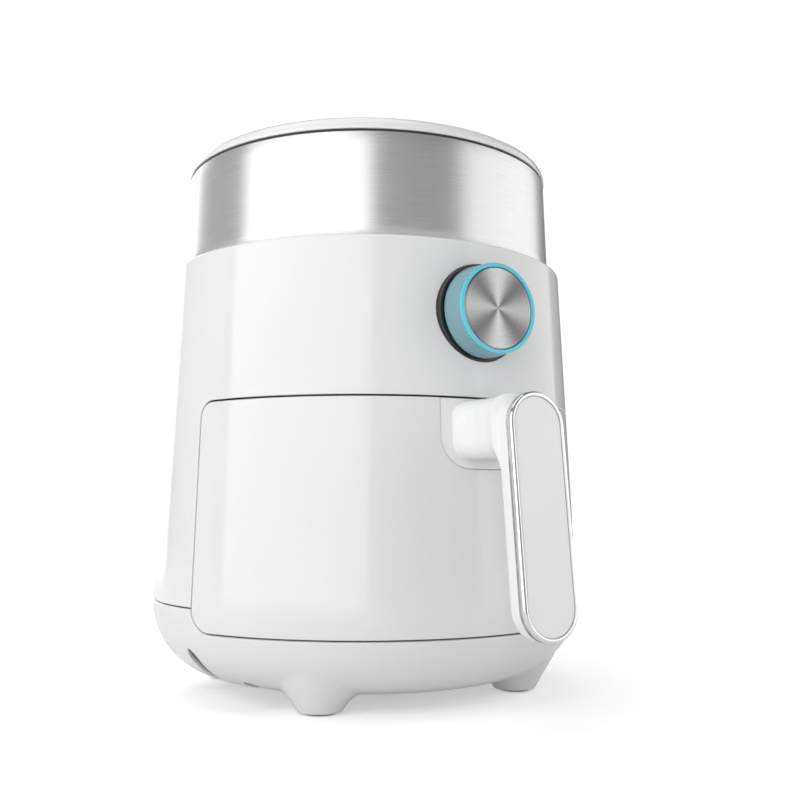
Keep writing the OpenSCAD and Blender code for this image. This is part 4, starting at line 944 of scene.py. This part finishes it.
SHEET = metal("rolled_sheet_steel", (0.50, 0.50, 0.51), (0.60, 0.60, 0.61), 0.3, 0.42, 700.0)
WIRE = metal("bright_wire", (0.62, 0.62, 0.63), (0.72, 0.72, 0.73), 0.2, 0.3, 900.0)
SHEATH = metal("heated_sheath", (0.20, 0.18, 0.17), (0.34, 0.30, 0.27), 0.35, 0.5, 500.0, (1, 1, 1))
SCREW = metal("zinc_screw", (0.55, 0.55, 0.54), (0.68, 0.67, 0.65), 0.28, 0.4, 1500.0, (1, 1, 1))
MOTOR = metal("laminated_motor_steel", (0.30, 0.30, 0.31), (0.42, 0.42, 0.43), 0.4, 0.5, 1800.0,
              (0.05, 0.05, 1.0))
COPPER = metal("copper_winding", (0.55, 0.25, 0.12), (0.72, 0.36, 0.2), 0.3, 0.42, 2200.0, (0.1, 0.1, 1.0))
BRONZE = metal("bronze_bush", (0.45, 0.31, 0.15), (0.58, 0.41, 0.22), 0.3, 0.4, 900.0, (1, 1, 1))

by_slot = {
    "white_plastic": WHITE, "brushed_band": BAND, "spun_steel": SPUN, "chrome_trim": CHROME,
    "knob_blue": KNOB_BLUE,
    "knob_cyan": KNOB_CYAN, "black_plastic": BLACK, "dark_frame": DARK, "black_rubber": RUBBER,
    "non_stick": NONSTICK,
    "sheet_steel": SHEET, "bright_wire": WIRE, "element_sheath": SHEATH, "screw_steel": SCREW,
    "motor_steel": MOTOR,
    "copper_winding": COPPER, "bronze_bush": BRONZE, "pale_plastic": PALE, "red_button": RED,
    "wire_sleeve": SLEEVE,
}
# Among these CAD parts, the black ring under the lid and the black ring round the knob's base sit in real
# gaps that cast their own shade. Their black colour stands in for the rest of that shadow as painted shade.
for part in frame["record"]["subparts"]:
    obj = frame["nodes"][part["node"]]
    obj.data.materials.clear()
    obj.data.materials.append(by_slot[part["material_slot"]].mat)


def dress(obj, body, node, mat):
    obj.data.materials.clear()
    obj.data.materials.append(mat.mat)
    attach(obj, body)
    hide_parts(node)


dress(housing, "housing", "outer_shell", WHITE)
dress(base, "housing", "lower_base", WHITE)
dress(drawer, "drawer", "drawer_front", WHITE)
dress(bracket_obj, "drawer", "handle_bracket", WHITE_IN)
dress(band, "housing", "steel_band", BAND)
dress(lid, "housing", "top_lid", WHITE)
dress(knob, "knob", "knob_body", KNOB_BLUE)
dress(knob_ring, "knob", "knob_ring", KNOB_CYAN)
dress(knob_cap, "knob", "knob_cap", SPUN)
dress(plate_obj, "drawer", "handle_plate", PLATE)
dress(trim_obj, "drawer", "handle_trim", CHROME)
dress(grip, "drawer", "handle_grip", WHITE_IN)

# ---------- stage, light and camera ----------

floor_mesh = bpy.data.meshes.new("studio_floor")
bm = bmesh.new()
bmesh.ops.create_grid(bm, x_segments=8, y_segments=8, size=6.0)
bm.to_mesh(floor_mesh)
bm.free()
floor = bpy.data.objects.new("studio_floor", floor_mesh)
floor.location.z = -0.0002
bpy.context.scene.collection.objects.link(floor)
FLOOR = Mat("pale_floor", (0.8, 0.8, 0.8), 0.9)
FLOOR.bsdf.inputs["Specular IOR Level"].default_value = 0.0
FLOOR.bsdf.inputs["Emission Color"].default_value = (1, 1, 1, 1)
lit = FLOOR.node("ShaderNodeLightPath")
away = FLOOR.node("ShaderNodeVectorMath", operation="LENGTH")
FLOOR.link(FLOOR.coord, "Object", away, "Vector")
glow = FLOOR.node("ShaderNodeMath", operation="MULTIPLY")
FLOOR.nt.links.new(FLOOR.ramp(away.outputs["Value"], 0.4, 1.2, 0.25, 1.6), glow.inputs[0])
FLOOR.nt.links.new(FLOOR.ramp(lit.outputs["Is Camera Ray"], 0.25, 1.0, 0.0, 1.0), glow.inputs[1])
FLOOR.nt.links.new(glow.outputs[0], FLOOR.bsdf.inputs["Emission Strength"])
floor.data.materials.append(FLOOR.mat)

scene = bpy.context.scene
world = bpy.data.worlds.new("studio_world")
scene.world = world
world.use_nodes = True
wt = world.node_tree
wt.nodes.clear()
w_out = wt.nodes.new("ShaderNodeOutputWorld")
w_bg = wt.nodes.new("ShaderNodeBackground")
w_cam = wt.nodes.new("ShaderNodeBackground")
w_mix = wt.nodes.new("ShaderNodeMixShader")
w_path = wt.nodes.new("ShaderNodeLightPath")
w_bg.inputs["Color"].default_value = (1, 1, 1, 1)
w_bg.inputs["Strength"].default_value = 0.17
w_cam.inputs["Color"].default_value = (1, 1, 1, 1)
w_cam.inputs["Strength"].default_value = 1.05
wt.links.new(w_path.outputs["Is Camera Ray"], w_mix.inputs["Fac"])
wt.links.new(w_bg.outputs[0], w_mix.inputs[1])
wt.links.new(w_cam.outputs[0], w_mix.inputs[2])
wt.links.new(w_mix.outputs[0], w_out.inputs["Surface"])

scene.view_settings.view_transform = "Standard"
scene.view_settings.look = "None"

CENTRE = Vector((0.0, AXIS_Y / 1000, 0.14))
CAM_AZ = -29.6


def softbox(name, az_from_camera, elevation, distance, width, height, radiance, spread=180.0):
    """A flat square light that faces the object. Azimuth is measured from the camera's side."""
    a = math.radians(CAM_AZ + az_from_camera)
    e = math.radians(elevation)
    d = Vector((math.sin(a) * math.cos(e), -math.cos(a) * math.cos(e), math.sin(e)))
    data = bpy.data.lights.new(name, "AREA")
    data.shape = "RECTANGLE"
    data.size, data.size_y = width, height
    data.energy = radiance * width * height * math.pi
    data.spread = math.radians(spread)
    obj = bpy.data.objects.new(name, data)
    obj.location = CENTRE + d * distance
    obj.rotation_euler = (-d).to_track_quat("-Z", "Y").to_euler()
    obj.visible_camera = False
    scene.collection.objects.link(obj)
    return obj


softbox("key_left", -38, 8, 1.3, 2.1, 1.7, 2.0)
softbox("gap_front", 31, 8, 1.35, 1.0, 1.7, 0.2)
softbox("fill_right", 94, 8, 1.3, 1.9, 1.7, 1.15)
softbox("gap_left", -105, 8, 1.35, 1.0, 1.7, 0.3)
softbox("back_left", -163, 8, 1.3, 1.7, 1.7, 2.0)
softbox("top", -60, 78, 1.3, 1.2, 1.2, 1.3)

cam_data = bpy.data.cameras.new("camera")
cam_data.lens = 44.29
cam_data.sensor_width = 36.0
cam_data.clip_start = 0.01
cam = bpy.data.objects.new("camera", cam_data)
cam.location = (-0.2588, -0.4359, 0.0904)
cam.rotation_euler = (math.radians(96.23), 0.0, math.radians(-31.51))
scene.collection.objects.link(cam)
scene.camera = cam
